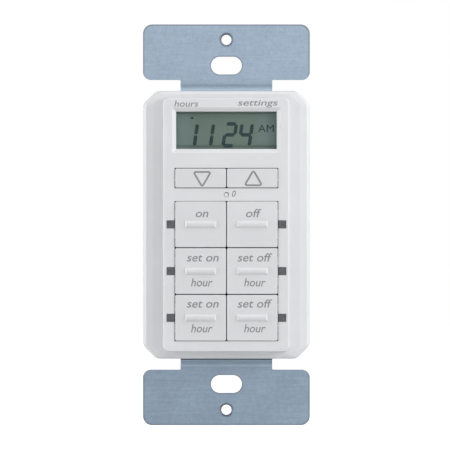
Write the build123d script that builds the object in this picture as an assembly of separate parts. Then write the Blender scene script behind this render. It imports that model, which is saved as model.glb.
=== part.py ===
from build123d import *
import os
from math import radians, sin, tan

# Timer light switch for a single wall box, in millimetres.
# X runs to the right seen from the front, Z up, and the front faces -Y.
# The origin lies on the back face of the strap's ears, midway between the box screws.

# Strap
box_screw_pitch = 83.3
hole_step = 6.75
slot_len = 8.1
slot_w = 4.65
tap_r = 1.45
tap_sink_r = 1.8
tap_sink = 0.4
strap_w = 43.6
strap_t = 1.5
ear_end_margin = 4.0
ear_inner_margin = 1.43
ear_corner_r = 2.4
ear_inner_corner_r = 2.0
neck_w = 24.0
neck_len = 2.9
neck_root_r = 0.3
joggle = 0.6
neck_foot = 0.7
joggle_angle = 30.0
bend_r = 0.5
strap_inset = 0.7
strap_rim_side = 7.4
strap_rim_end = 11.3

# Shoulder and raised face of the front housing
shoulder_side = 5.25
shoulder_end = 1.75
shoulder_corner_leg = 3.45
shoulder_corner_r = 2.5
shoulder_edge_h = 2.2
shoulder_h = 3.7
face_h_above_seat = 8.2
face_draft = 0.25
face_base_r = 1.6
face_edge_r = 0.3
front_wall = 1.6
side_wall = 1.5
shoulder_wall = 1.6
# How far the shoulder is drawn in, and how far it has risen, at each step of its crown
crown_shares = [(0.0, 0.0), (0.05, 0.34), (0.16, 0.6), (0.5, 0.86), (1.0, 1.0)]

# Display opening
window_side_margin = 3.45
window_top_margin = 3.75
window_h = 9.74
bezel_w = 1.05
bezel_depth = 0.9
window_t = 0.8
window_gap = 0.2
glass_t = 0.9
glass_gap = 0.1
holder_wall = 0.7
holder_gap = 0.1
connector_w = 0.9

# Key block
keypad_margin = 3.05
window_to_arrows = 4.94
arrow_row_h = 5.3
reset_band_h = 3.32
keypad_bottom_margin = 2.95
key_gap = 0.17
key_between = 0.22
key_proud = 0.3
key_travel = 0.6
key_wall = 1.2
key_corner_r = 0.4
key_edge_r = 0.22
key_play = 0.1
lug_t = 0.8
lug_reach = 0.9
lug_len = 2.0
lug_offset = 1.7
ridge_len = 8.1
ridge_w = 1.85
ridge_h = 0.55
ridge_slope = 0.5
ridge_root = 0.3
key_stem_r = 1.5
key_rows = 3

# Reset pinhole and indicators
pinhole_r = 0.65
reset_travel = 0.4
reset_gap = 0.4
reset_sink = 0.15
reset_tip_gap = 0.12
pipe_edge = 1.0
pipe_gap = 0.05
lamp_w = 1.6
lamp_len = 0.8
lamp_h = 0.7
lamp_gap = 0.2

# Small push switches
switch_w = 4.5
switch_clear = 1.0
switch_floor = 0.4
switch_plunger_r = 1.0
switch_plunger_gap = 0.12
switch_spare_travel = 0.2

# Logic board
board_t = 1.6
board_gap = 0.3
board_edge_gap = 0.4
sheet_t = 0.2
chip_len = 7.0
chip_gap = 0.1
chip_h = 1.0
chip_lead_len = 0.9
chip_lead_w = 0.3
chip_lead_t = 0.2
chip_leads_per_side = 8
chip_lead_pitch = 0.8
crystal_r = 1.0
crystal_len = 6.0
crystal_drop = 9.7
post_r = 1.45
post_gap = 0.1
board_screw_r = 0.8
board_screw_len = 4.2
board_screw_head_r = 1.7
board_screw_head_h = 1.0
screw_slot_w = 0.5
screw_slot_depth = 0.45

# Backup cell
cell_r = 8.0
cell_t = 3.2
cell_rise = 9.0
tray_floor = 0.4
tray_wall = 0.9
tray_gap = 0.1
tray_h = 2.2
clip_w = 4.5
clip_t = 0.3
clip_gap = 0.1

# Connector between the boards
pin_pitch = 2.54
pin_count = 6
pin_w = 0.64
pin_gap = 0.12
pin_tail = 0.8
connector_body_w = 2.5
socket_h = 3.0
socket_tip_gap = 0.4
connector_drop = 16.0

# Rear housing
rear_inset_side = 1.0
rear_inset_end = 1.7
rear_depth = 28.0
rear_wall = 1.8
rear_corner_r = 2.2
rear_edge_r = 0.9
label_w = 22.0
label_h = 26.0
label_depth = 0.3
label_rise = 6.0
port_spacing = 0.2
port_count = 4
port_r = 2.6
port_rise = 8.5
port_gap = 0.05
lead_r = 1.5
flange_w = 0.8
flange_t = 0.7
bush_inner_len = 1.5

# Housing screws
screw_out = 0.45
screw_in = 3.45
screw_r = 1.4
screw_gap = 0.2
screw_bite = 2.6
screw_head_r = 2.3
screw_head_h = 1.6
screw_recess = 0.5
screw_head_gap = 0.25
front_boss_r = 2.4
boss_gap = 0.3
rear_boss_r = 3.3
cross_len = 2.6
cross_w = 0.6
cross_depth = 0.8

# Power board and its carriers
power_drop = 4.0
power_t = 1.6
power_edge_gap = 0.3
column_r = 2.0
column_rise = 0.0

# Relay
relay_w = 19.0
relay_len = 15.4
relay_h = 15.4
relay_side_gap = 0.8
relay_top_gap = 0.8
relay_roof_gap = 1.0
relay_wall = 0.8
relay_fit = 0.1
relay_base_t = 2.0
yoke_t = 1.2
yoke_trim = 0.1
yoke_side_gap = 0.8
core_share = 0.41304
pole_share = 0.65217
pole_t = 0.8
pole_gap = 0.5
contact_room_share = 0.39672
bobbin_flange_t = 0.6
bobbin_tube = 0.6
winding_gap = 0.15
armature_t = 1.0
armature_trim = 0.5
armature_lip = 0.95
blade_t = 0.3
blade_share = 0.5625
blade_overlap = 3.0
contact_share = 0.18182
contact_t = 0.8
contact_gap = 0.85
contact_wall_share = 0.38017
contact_edge = 0.4
contact_post_w = 2.4
contact_post_t = 0.8

# Parts on the power board
film_spare = 0.5
film_len = 7.0
film_h = 12.5
film_edge_r = 0.6
can_r = 4.0
can_h = 12.0
can_groove_r = 3.6
can_groove_h = 0.8
can_foot = 1.2
disc_r = 4.5
disc_t = 3.4
disc_stand = 1.0
resistor_share = 0.6
resistor_r = 2.0
diode_r = 1.3
diode_len = 4.6
diode_pitch = 3.6
diode_count = 4
wire_r = 0.35
wire_reach = 1.4
axial_stand = 0.3
part_gap = 1.5
tab_w = 5.0
tab_t = 0.8
tab_h = 6.0
tab_count = 3
ground_tab_w = 5.0
ground_tab_t = 0.7
rivet_r = 1.3
rivet_head_r = 2.1
rivet_head_h = 0.8

overrun = 1.0

# Places worked out from the sizes above
seat_front = joggle - strap_t
seat_back = joggle
slot_z = box_screw_pitch / 2
tap_z = slot_z + hole_step
strap_half_len = tap_z + ear_end_margin
ear_inner_z = slot_z - slot_w / 2 - ear_inner_margin
body_w = strap_w
body_half_h = ear_inner_z - neck_len
face_w = body_w - 2 * shoulder_side
face_half_h = body_half_h - shoulder_end
strap_mid_w = body_w - 2 * strap_inset
strap_mid_h = 2 * (body_half_h - strap_inset)

face_front = seat_front - face_h_above_seat
wall_back = face_front + front_wall
board_back = seat_front - board_gap
board_front = board_back - board_t
cavity_half_w = face_w / 2 - side_wall
cavity_half_h = face_half_h - side_wall

window_w = face_w - 2 * window_side_margin
window_z = face_half_h - window_top_margin - window_h / 2
holder_half_w = cavity_half_w - holder_gap
holder_half_h = face_half_h - side_wall - holder_gap - window_z
glass_half_w = holder_half_w - holder_wall - holder_gap
glass_half_h = holder_half_h - holder_wall - holder_gap
window_back = wall_back + window_t
front_glass_back = window_back + window_gap + glass_t

keypad_half_w = face_w / 2 - keypad_margin
arrows_top = window_z - window_h / 2 - window_to_arrows
arrows_z = arrows_top - arrow_row_h / 2
keys_top = arrows_top - arrow_row_h - reset_band_h
keys_bottom = keypad_bottom_margin - face_half_h
row_pitch = (keys_top - keys_bottom) / key_rows
row_zs = [keys_top - row_pitch * (row + 1 / 2) for row in range(key_rows)]
reset_z = keys_top + reset_band_h / 2
key_w = keypad_half_w - key_gap - key_between / 2
key_x = (key_between + key_w) / 2
key_h = row_pitch - key_between
arrow_key_h = arrow_row_h - 2 * key_gap
key_front = face_front - key_proud
lug_front = wall_back + key_play
lug_back = lug_front + lug_t
switch_front = lug_back + key_travel + switch_clear
switch_h = board_front - switch_front
plunger_front = switch_front - key_travel - switch_spare_travel
plunger_seat = board_front - switch_floor - key_travel - switch_spare_travel
pipe_w = keypad_margin - pipe_edge
pipe_x = keypad_half_w + pipe_w / 2
pipe_back = board_front - lamp_h - lamp_gap
post_x = keypad_half_w + post_gap + post_r
post_places = [(side * post_x, z) for side in (-1, 1) for z in (reset_z, keys_bottom + row_pitch)]

screw_x = face_w / 2 + screw_out
screw_z = face_half_h - screw_in
screw_places = [(side * screw_x, end * screw_z) for side in (-1, 1) for end in (-1, 1)]

rear_w = body_w - 2 * rear_inset_side
rear_half_h = body_half_h - rear_inset_end
rear_back = seat_back + rear_depth
rear_floor = rear_back - rear_wall
rear_inner_half_w = rear_w / 2 - rear_wall
rear_inner_half_h = rear_half_h - rear_wall
port_z = port_rise - rear_inner_half_h
power_front = seat_back + power_drop
power_back = power_front + power_t
power_half_w = rear_inner_half_w - power_edge_gap
power_half_h = rear_inner_half_h - power_edge_gap
connector_z = -connector_drop
column_places = [(side * screw_x, column_rise) for side in (-1, 1)]

parts_half_w = screw_x - column_r - part_gap
film_w = 2 * (parts_half_w - can_r) - part_gap - film_spare
resistor_len = film_w * resistor_share
relay_x = relay_side_gap + relay_w / 2 - power_half_w + 2 * power_edge_gap
relay_z = screw_z - rear_boss_r - relay_top_gap - relay_len / 2
relay_back = power_back + relay_h
relay_floor = power_back + relay_base_t
hinge_x = relay_x + relay_w / 2 - relay_wall - yoke_side_gap - yoke_t / 2
armature_front = relay_back - relay_wall - relay_roof_gap - blade_t - armature_t
pole_back = armature_front - pole_gap
magnet_room = relay_w - 2 * relay_wall - yoke_side_gap - yoke_t - winding_gap
contact_room = magnet_room * contact_room_share
contact_r = contact_room * contact_share
bobbin_r = (magnet_room - contact_room) / 2
core_r = bobbin_r * core_share
pole_r = bobbin_r * pole_share
yoke_w = 2 * (bobbin_r - yoke_trim)
armature_w = yoke_w - 2 * armature_trim
blade_w = armature_w * blade_share
core_x = hinge_x - yoke_t / 2 - winding_gap - bobbin_r
armature_end = core_x - bobbin_r - armature_lip
contact_x = relay_x - relay_w / 2 + relay_wall + contact_room * contact_wall_share + contact_r


def slab(sketch, front, depth):
    """A sketch drawn on the front view, made solid from its front face backwards."""
    return extrude(Plane.XZ.offset(-front) * sketch, amount=-depth)


def block(x, z, width, height, front, depth):
    """A box centred on x and z."""
    return slab(Pos(x, z) * Rectangle(width, height), front, depth)


def rod(x, z, radius, front, depth):
    """A round bar that runs front to back."""
    return slab(Pos(x, z) * Circle(radius), front, depth)


def cross_rod(x, y, z, radius, length):
    """A round bar that runs left to right, centred on x."""
    return Pos(x, y, z) * Rot(0, 90, 0) * Cylinder(radius, length)


def octagon(half_w, half_h, leg, corner_r):
    """A rectangle with cut and rounded corners."""
    points = []
    for side, end in ((1, 1), (-1, 1), (-1, -1), (1, -1)):
        pair = [(side * half_w, end * (half_h - leg)), (side * (half_w - leg), end * half_h)]
        points += pair if side * end > 0 else pair[::-1]
    outline = make_face(Polyline(*points, close=True))
    return fillet(outline.vertices(), corner_r)


def shoulder_outline(share):
    """The shoulder's outline, drawn in from the body's edge by a share of its width."""
    leg = shoulder_corner_leg + share * (face_base_r - shoulder_corner_leg)
    corner_r = shoulder_corner_r + share * (face_base_r / 2 - shoulder_corner_r)
    half_w = body_w / 2 - share * shoulder_side
    return octagon(half_w, body_half_h - share * shoulder_end, leg, corner_r)


def front_edges(solid):
    """The edges of a solid that lie in its front plane."""
    return solid.edges().group_by(Axis.Y)[0]


def back_edges(solid):
    """The edges of a solid that lie in its back plane."""
    return solid.edges().group_by(Axis.Y)[-1]


def export_node(name, shape):
    """Write one node, which may hold several solids."""
    solids = shape.solids()
    shape = solids[0] if len(solids) == 1 else Compound(children=list(solids))
    export_step(shape, os.path.join("parts", name + ".step"))


def neck(end):
    """One neck of the strap, which steps back from the ear to the middle."""
    shift = strap_t * tan(radians(joggle_angle / 2))
    run = joggle / tan(radians(joggle_angle))
    top = body_half_h + neck_foot + run
    low = strap_mid_h / 2 - overrun
    outer_r = bend_r + strap_t
    front = FilletPolyline(
        (-strap_t, ear_inner_z + overrun),
        (-strap_t, top),
        (seat_front, top - run),
        (seat_front, low),
        radius=[outer_r, bend_r],
    )
    back = FilletPolyline(
        (0, ear_inner_z + overrun),
        (0, top - shift),
        (seat_back, top - run - shift),
        (seat_back, low),
        radius=[bend_r, outer_r],
    )
    ends = [Line(front @ 0, back @ 0), Line(front @ 1, back @ 1)]
    profile = make_face(Curve() + [front, back] + ends)
    solid = extrude(Plane.YZ * profile, amount=neck_w / 2, both=True)
    return solid if end > 0 else mirror(solid, Plane.XY)


def ear(end):
    """One ear of the strap, with its slot and tapped hole."""
    height = strap_half_len - ear_inner_z
    stub = neck_len - neck_foot - joggle / tan(radians(joggle_angle))
    root_r = min(neck_root_r, stub / 2)
    plate = Pos(0, ear_inner_z + height / 2) * Rectangle(strap_w, height)
    outer = plate.vertices().group_by(Axis.Y)[-1]
    plate = fillet(outer, ear_corner_r)
    inner = plate.vertices().group_by(Axis.Y)[0]
    plate = fillet(inner, ear_inner_corner_r)
    plate += Pos(0, ear_inner_z) * Rectangle(neck_w, 2 * stub)
    roots = [v for v in plate.vertices() if abs(v.Y - ear_inner_z) < stub / 2 and abs(v.X) < strap_w / 3]
    plate = fillet(roots, root_r)
    plate -= Pos(0, slot_z) * SlotOverall(slot_len, slot_w)
    plate -= Pos(0, tap_z) * Circle(tap_r)
    solid = slab(plate, -strap_t, strap_t)
    sink = Plane.XZ.offset(strap_t) * Pos(0, tap_z) * Circle(tap_sink_r)
    bottom = Plane.XZ.offset(strap_t - tap_sink) * Pos(0, tap_z) * Circle(tap_r)
    solid -= loft([sink, bottom])
    return solid if end > 0 else mirror(solid, Plane.XY)


def strap():
    """The steel strap: two ears, two necks and a pierced middle."""
    middle = Rectangle(strap_mid_w, strap_mid_h)
    middle = fillet(middle.vertices(), shoulder_corner_leg)
    hole_w = strap_mid_w - 2 * strap_rim_side
    hole_h = strap_mid_h - 2 * strap_rim_end
    middle -= Rectangle(hole_w, hole_h)
    for x, z in screw_places:
        middle -= Pos(x, z) * Circle(screw_r + screw_gap)
    for x, z in post_places:
        middle -= Pos(x, z) * Circle(board_screw_head_r + boss_gap)
    middle -= Pos(0, ground_z()) * Circle(rivet_r)
    solid = slab(middle, seat_front, strap_t)
    for end in (-1, 1):
        solid += neck(end)
        solid += ear(end)
    return solid


def ground_z():
    """Height of the ground rivet, in the lower rim of the strap."""
    return (strap_rim_end - strap_mid_h) / 2 + rivet_head_r


def face_solid():
    """The raised face before it is hollowed, with its front edge rounded."""
    base_y = seat_front - shoulder_h
    base = Plane.XZ.offset(-base_y) * RectangleRounded(face_w, 2 * face_half_h, face_base_r)
    narrow_r = face_base_r - face_draft
    front = RectangleRounded(face_w - 2 * face_draft, 2 * (face_half_h - face_draft), narrow_r)
    raised = loft([base, Plane.XZ.offset(-face_front) * front], ruled=True)
    return fillet(front_edges(raised), face_edge_r)


def shoulder_solid():
    """The shoulder before it is hollowed, with its crowned front."""
    rise = shoulder_h - shoulder_edge_h
    sections = []
    for inset_share, rise_share in crown_shares:
        y = seat_front - shoulder_edge_h - rise * rise_share
        sections.append(Plane.XZ.offset(-y) * shoulder_outline(inset_share))
    side = slab(shoulder_outline(0), seat_front - shoulder_edge_h, shoulder_edge_h)
    return side + loft(sections, ruled=True)


def board_outline(half_w, half_h, boss_r):
    """A board's outline, notched around the housing screws."""
    outline = octagon(half_w, half_h, shoulder_corner_leg, shoulder_corner_r)
    for x, z in screw_places:
        outline -= Pos(x, z) * Circle(boss_r + boss_gap)
    return outline


def bezel_cut():
    """The display opening and the chamfer around it."""
    outer = RectangleRounded(window_w + 2 * bezel_w, window_h + 2 * bezel_w, bezel_w / 2)
    inner = RectangleRounded(window_w, window_h, bezel_w / 4)
    front = Plane.XZ.offset(-face_front) * Pos(0, window_z) * outer
    back = Plane.XZ.offset(-face_front - bezel_depth) * Pos(0, window_z) * inner
    opening = block(0, window_z, window_w, window_h, face_front, front_wall + overrun)
    return opening + loft([front, back], ruled=True)


def front_housing():
    """The white front housing, hollow behind, with its openings, posts and bosses."""
    body = shoulder_solid() + face_solid()
    depth = board_front - wall_back
    cavity = block(0, 0, 2 * cavity_half_w, 2 * cavity_half_h, wall_back, depth)
    inner = octagon(
        body_w / 2 - shoulder_wall, body_half_h - shoulder_wall, shoulder_corner_leg, shoulder_corner_r
    )
    shelf = slab(inner, board_front, seat_front - board_front)
    for x, z in post_places:
        cavity -= rod(x, z, post_r, wall_back, depth)
    for x, z in screw_places:
        shelf -= rod(x, z, front_boss_r, board_front, seat_front - board_front)
    body -= cavity
    body -= shelf
    body -= bezel_cut()
    start = face_front - overrun
    through = front_wall + 2 * overrun
    opening_w = 2 * keypad_half_w
    keys_mid = (keys_top + keys_bottom) / 2
    body -= block(0, arrows_z, opening_w, arrow_row_h, start, through)
    body -= block(0, keys_mid, opening_w, keys_top - keys_bottom, start, through)
    body -= rod(0, reset_z, pinhole_r, start, through)
    for x, z in pipe_places():
        side = pipe_w + 2 * pipe_gap
        body -= block(x, z, side, side, start, pipe_back - start)
    for x, z in post_places:
        body -= rod(x, z, board_screw_r, board_front - board_screw_len + board_t, board_screw_len - board_t)
    for x, z in screw_places:
        body -= rod(x, z, screw_r, seat_front - screw_bite, screw_bite)
    return body


def pipe_places():
    """Centres of the indicators, one beside each large key."""
    return [(side * pipe_x, z) for z in row_zs for side in (-1, 1)]


def display_window():
    """The clear window, seated behind the front wall."""
    return block(0, window_z, 2 * holder_half_w, 2 * holder_half_h, wall_back, window_t)


def lcd_front_glass():
    """The larger glass of the display cell."""
    front = window_back + window_gap
    return block(0, window_z, 2 * glass_half_w, 2 * glass_half_h, front, glass_t)


def lcd_rear_glass():
    """The smaller glass, which leaves a ledge for the connectors above and below."""
    height = 2 * (glass_half_h - connector_w - glass_gap)
    return block(0, window_z, 2 * glass_half_w, height, front_glass_back, glass_t)


def lcd_connectors():
    """Two elastomer strips from the display's ledges to the logic board."""
    offset = glass_half_h - connector_w / 2
    length = 2 * (glass_half_w - glass_gap)
    strips = Part()
    for end in (-1, 1):
        z = window_z + end * offset
        strips += block(0, z, length, connector_w, front_glass_back, board_front - front_glass_back)
    return strips


def lcd_holder():
    """The frame that holds the glasses and strips on the board."""
    depth = board_front - window_back
    frame = block(0, window_z, 2 * holder_half_w, 2 * holder_half_h, window_back, depth)
    inner_w = 2 * (holder_half_w - holder_wall)
    return frame - block(0, window_z, inner_w, 2 * (holder_half_h - holder_wall), window_back, depth)


def key(side, z, height, ridged):
    """One key: a hollow cap with outer lugs and a stem over its switch."""
    x = side * key_x
    cap = RectangleRounded(key_w, height, key_corner_r)
    body = slab(Pos(x, z) * cap, key_front, lug_back - key_front)
    body = fillet(front_edges(body), key_edge_r)
    inner_w = key_w - 2 * key_wall
    inner_front = key_front + key_wall
    body -= block(x, z, inner_w, height - 2 * key_wall, inner_front, lug_back - inner_front)
    edge = side * (key_x + key_w / 2)
    reach = key_gap + lug_reach
    spread = lug_offset + lug_len / 2 if ridged else 0
    for end in (-1, 1) if ridged else (1,):
        length = lug_len if ridged else height - 2 * lug_offset
        lug_x = edge + side * (reach - key_wall / 2) / 2
        body += block(lug_x, z + end * spread, reach + key_wall / 2, length, lug_front, lug_t)
    body += rod(x, z, key_stem_r, inner_front, plunger_front - inner_front)
    if ridged:
        body += ridge(x, z)
    return body


def ridge(x, z):
    """The crowned bar on a key's front, with sloping ends."""
    crown_r = ridge_w**2 / (8 * ridge_h) + ridge_h / 2
    crown = Pos(x, key_front - ridge_h + crown_r, z) * Rot(0, 90, 0) * Cylinder(crown_r, ridge_len)
    foot = ridge_len / 2
    top = foot - ridge_slope
    outline = [
        (-foot, key_front + ridge_root),
        (-foot, key_front),
        (-top, key_front - ridge_h),
        (top, key_front - ridge_h),
        (foot, key_front),
        (foot, key_front + ridge_root),
    ]
    ends = extrude(Polygon(*outline, align=None), amount=ridge_w, both=True)
    return crown & (Pos(x, 0, z) * ends)


def switch_places():
    """Centres of the small push switches under the keys and the pinhole."""
    places = [(side * key_x, z) for z in [arrows_z] + row_zs for side in (-1, 1)]
    return places + [(0, reset_z)]


def switch_bodies():
    """The bodies of the push switches, each with a well for its plunger."""
    bodies = Part()
    for x, z in switch_places():
        body = block(x, z, switch_w, switch_w, switch_front, switch_h)
        well_r = switch_plunger_r + switch_plunger_gap
        bodies += body - rod(x, z, well_r, switch_front, switch_h - switch_floor)
    return bodies


def switch_plunger(x, z):
    """The plunger of one push switch, under the stem of its key."""
    return rod(x, z, switch_plunger_r, plunger_front, plunger_seat - plunger_front)


def reset_plunger():
    """The taller plunger behind the pinhole, with a slim tip inside it."""
    front = wall_back + reset_gap
    seat = board_front - switch_floor - reset_travel - switch_spare_travel
    tip_front = face_front + reset_sink
    tip = rod(0, reset_z, pinhole_r - reset_tip_gap, tip_front, front - tip_front)
    return tip + rod(0, reset_z, switch_plunger_r, front, seat - front)


def light_pipes():
    """Six square light pipes, flush with the face and just over the lamps."""
    pipes = Part()
    for x, z in pipe_places():
        pipes += block(x, z, pipe_w, pipe_w, face_front, pipe_back - face_front)
    return pipes


def indicator_lamps():
    """Six surface-mounted lamps under the light pipes."""
    lamps = Part()
    for x, z in pipe_places():
        lamps += block(x, z, lamp_len, lamp_w, board_front - lamp_h, lamp_h)
    return lamps


def logic_board():
    """The board that carries the display, the switches and the controller."""
    edge = shoulder_wall + board_edge_gap
    outline = board_outline(body_w / 2 - edge, body_half_h - edge, front_boss_r)
    for x, z in post_places:
        outline -= Pos(x, z) * Circle(board_screw_r + screw_gap)
    return slab(outline, board_front, board_t)


def insulator_sheet():
    """The insulating sheet between the logic board and the strap."""
    edge = shoulder_wall + board_edge_gap
    outline = board_outline(body_w / 2 - edge, body_half_h - edge, front_boss_r)
    outline -= Rectangle(strap_mid_w - 2 * strap_rim_side, strap_mid_h - 2 * strap_rim_end)
    for x, z in post_places:
        outline -= Pos(x, z) * Circle(board_screw_head_r + boss_gap)
    outline -= Pos(0, ground_z()) * Circle(rivet_head_r + boss_gap)
    return slab(outline, seat_front - sheet_t, sheet_t)


def screw(x, z, radius, tip, seat, head_r, head_h):
    """A pan-head screw with a straight slot, its head to the back."""
    solid = rod(x, z, radius, tip, seat - tip)
    head = rod(x, z, head_r, seat, head_h)
    solid += fillet(back_edges(head), head_h / 3)
    slot = block(x, z, 2 * head_r, screw_slot_w, seat + head_h - screw_slot_depth, screw_slot_depth)
    return solid - slot


def board_screws():
    """Four screws that hold the logic board to the front housing."""
    screws = Part()
    for x, z in post_places:
        tip = board_back - board_screw_len
        screws += screw(x, z, board_screw_r, tip, board_back, board_screw_head_r, board_screw_head_h)
    return screws


def logic_chip():
    """The controller: a flat body with leads on two sides."""
    z = row_zs[1]
    chip_w = 2 * (key_x - switch_w / 2 - chip_gap - chip_lead_len)
    chips = block(0, z, chip_w, chip_len, board_front - chip_h, chip_h)
    for side in (-1, 1):
        for lead in range(chip_leads_per_side):
            lead_z = z + (lead - (chip_leads_per_side - 1) / 2) * chip_lead_pitch
            lead_x = side * (chip_w + chip_lead_len) / 2
            chips += block(lead_x, lead_z, chip_lead_len, chip_lead_w, board_front - chip_lead_t, chip_lead_t)
    return chips


def crystal():
    """The timing crystal, lying on the board below the controller."""
    x = (key_x - switch_w / 2) / 2
    z = row_zs[1] - crystal_drop
    return Pos(x, board_front - crystal_r, z) * Cylinder(crystal_r, crystal_len)


def cell_tray():
    """The round tray of the backup cell, on the back of the logic board."""
    outer_r = cell_r + tray_gap + tray_wall
    tray = rod(0, cell_rise, outer_r, board_back, tray_h)
    tray -= rod(0, cell_rise, cell_r + tray_gap, board_back + tray_floor, tray_h)
    return tray - block(0, cell_rise, 3 * outer_r, clip_w + 2 * clip_gap, board_back + tray_floor, tray_h)


def backup_cell():
    """The coin cell that keeps the time through a power cut."""
    cell = rod(0, cell_rise, cell_r, board_back + tray_floor, cell_t)
    return chamfer(back_edges(cell), clip_t)


def cell_clip():
    """The spring clip that holds the cell down, with a leg on each side."""
    outer = cell_r + tray_gap + tray_wall + clip_gap + clip_t
    top = board_back + tray_floor + cell_t
    clip = block(0, cell_rise, 2 * outer, clip_w, top, clip_t)
    for side in (-1, 1):
        clip += block(side * (outer - clip_t / 2), cell_rise, clip_t, clip_w, board_back, top - board_back)
    return clip


def pin_xs():
    """Places of the connector's pins from side to side."""
    return [(pin - (pin_count - 1) / 2) * pin_pitch for pin in range(pin_count)]


def connector_socket():
    """The socket on the back of the logic board."""
    body = block(0, connector_z, pin_pitch * pin_count, connector_body_w, board_back, socket_h)
    for x in pin_xs():
        well = pin_w + 2 * pin_gap
        body -= block(x, connector_z, well, well, board_back + socket_tip_gap, socket_h)
    return body


def connector_pins():
    """The pin strip on the front of the power board, its pins through both."""
    socket_back = board_back + socket_h
    depth = power_front - socket_back
    body = block(0, connector_z, pin_pitch * pin_count, connector_body_w, socket_back, depth)
    tip = board_back + 2 * socket_tip_gap
    for x in pin_xs():
        body += block(x, connector_z, pin_w, pin_w, tip, power_back + pin_tail - tip)
    return body


def power_board():
    """The board that carries the relay and the supply."""
    outline = board_outline(power_half_w, power_half_h, rear_boss_r)
    for x in pin_xs():
        outline -= Pos(x, connector_z) * Circle(pin_w)
    for x, z in column_places:
        outline -= Pos(x, z) * Circle(board_screw_r + screw_gap)
    return slab(outline, power_front, power_t)


def power_board_screws():
    """Two screws that hold the power board to the rear housing."""
    screws = Part()
    for x, z in column_places:
        tip = -power_front - board_screw_len
        part = screw(x, z, board_screw_r, tip, -power_front, board_screw_head_r, board_screw_head_h)
        screws += mirror(part, Plane.XZ)
    return screws


def rear_housing():
    """The deep rear housing, with its screw bosses, board columns and lead ports."""
    shell = slab(RectangleRounded(rear_w, 2 * rear_half_h, rear_corner_r), seat_back, rear_depth)
    shell = fillet(back_edges(shell), rear_edge_r)
    depth = rear_floor - seat_back
    inner = block(0, 0, 2 * rear_inner_half_w, 2 * rear_inner_half_h, seat_back, depth)
    for x, z in screw_places:
        inner -= rod(x, z, rear_boss_r, seat_back, depth)
    for x, z in column_places:
        inner -= rod(x, z, column_r, power_back, rear_floor - power_back)
    shell -= inner
    for x, z in column_places:
        shell -= rod(x, z, board_screw_r, power_back, board_screw_len)
    for x, z in screw_places:
        shell -= rod(x, z, screw_r + screw_gap, seat_back, rear_depth)
        recess = screw_head_h + screw_recess
        shell -= rod(x, z, screw_head_r + screw_head_gap, rear_back - recess, recess)
    for x in port_xs():
        shell -= rod(x, port_z, port_r, rear_floor - overrun, rear_wall + 2 * overrun)
    return shell - block(0, label_rise, label_w, label_h, rear_back - label_depth, label_depth + overrun)


def port_xs():
    """Places of the lead ports from side to side."""
    port_pitch = 2 * (port_r + flange_w) + port_spacing
    return [(port - (port_count - 1) / 2) * port_pitch for port in range(port_count)]


def lead_bushings():
    """Flanged bushings in the lead ports."""
    bushings = Part()
    for x in port_xs():
        inner_front = rear_floor - bush_inner_len
        bush = rod(x, port_z, port_r - port_gap, inner_front, rear_back - inner_front)
        flange = rod(x, port_z, port_r + flange_w, rear_back, flange_t)
        bush += fillet(back_edges(flange), flange_t / 2)
        bushings += bush - rod(x, port_z, lead_r, inner_front, rear_back + flange_t - inner_front)
    return bushings


def housing_screws():
    """Four long screws through the rear housing and strap into the front housing."""
    screws = Part()
    seat = rear_back - screw_head_h - screw_recess
    tip = seat_front - screw_bite
    for x, z in screw_places:
        part = rod(x, z, screw_r, tip, seat - tip)
        part += fillet(back_edges(rod(x, z, screw_head_r, seat, screw_head_h)), screw_head_h / 3)
        cross_front = seat + screw_head_h - cross_depth
        part -= block(x, z, cross_len, cross_w, cross_front, cross_depth)
        screws += part - block(x, z, cross_w, cross_len, cross_front, cross_depth)
    return screws


def relay_case():
    """The relay's cover, open towards the board."""
    case = block(relay_x, relay_z, relay_w, relay_len, power_back, relay_h)
    case = fillet(back_edges(case), relay_wall / 2)
    inner_w = relay_w - 2 * relay_wall
    inner_len = relay_len - 2 * relay_wall
    return case - block(relay_x, relay_z, inner_w, inner_len, power_back, relay_h - relay_wall)


def relay_base():
    """The relay's base, which plugs its cover."""
    width = relay_w - 2 * relay_wall - 2 * relay_fit
    length = relay_len - 2 * relay_wall - 2 * relay_fit
    return block(relay_x, relay_z, width, length, power_back, relay_base_t)


def relay_yoke():
    """The L-shaped iron that joins the core's foot to the armature."""
    foot_w = hinge_x + yoke_t / 2 - (core_x - core_r)
    foot_x = (hinge_x + yoke_t / 2 + core_x - core_r) / 2
    foot = block(foot_x, relay_z, foot_w, yoke_w, relay_floor, yoke_t)
    return foot + block(hinge_x, relay_z, yoke_t, yoke_w, relay_floor, armature_front - relay_floor)


def relay_core():
    """The iron core with its pole head."""
    foot = relay_floor + yoke_t
    core = rod(core_x, relay_z, core_r, foot, pole_back - foot)
    return core + rod(core_x, relay_z, pole_r, pole_back - pole_t, pole_t)


def relay_bobbin():
    """The spool around the core."""
    foot = relay_floor + yoke_t
    length = pole_back - pole_t - foot
    bobbin = rod(core_x, relay_z, core_r + winding_gap + bobbin_tube, foot, length)
    for front in (foot, foot + length - bobbin_flange_t):
        bobbin += rod(core_x, relay_z, bobbin_r, front, bobbin_flange_t)
    return bobbin - rod(core_x, relay_z, core_r + winding_gap / 2, foot, length)


def relay_winding():
    """The coil's wire, wound between the spool's flanges."""
    foot = relay_floor + yoke_t + bobbin_flange_t
    length = pole_back - pole_t - foot - bobbin_flange_t
    winding = rod(core_x, relay_z, bobbin_r - winding_gap, foot, length)
    return winding - rod(core_x, relay_z, core_r + winding_gap + bobbin_tube, foot, length)


def relay_armature():
    """The iron plate that the coil pulls, resting open over the pole."""
    start = hinge_x + yoke_t / 2
    middle = (start + armature_end) / 2
    return block(middle, relay_z, start - armature_end, armature_w, armature_front, armature_t)


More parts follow.
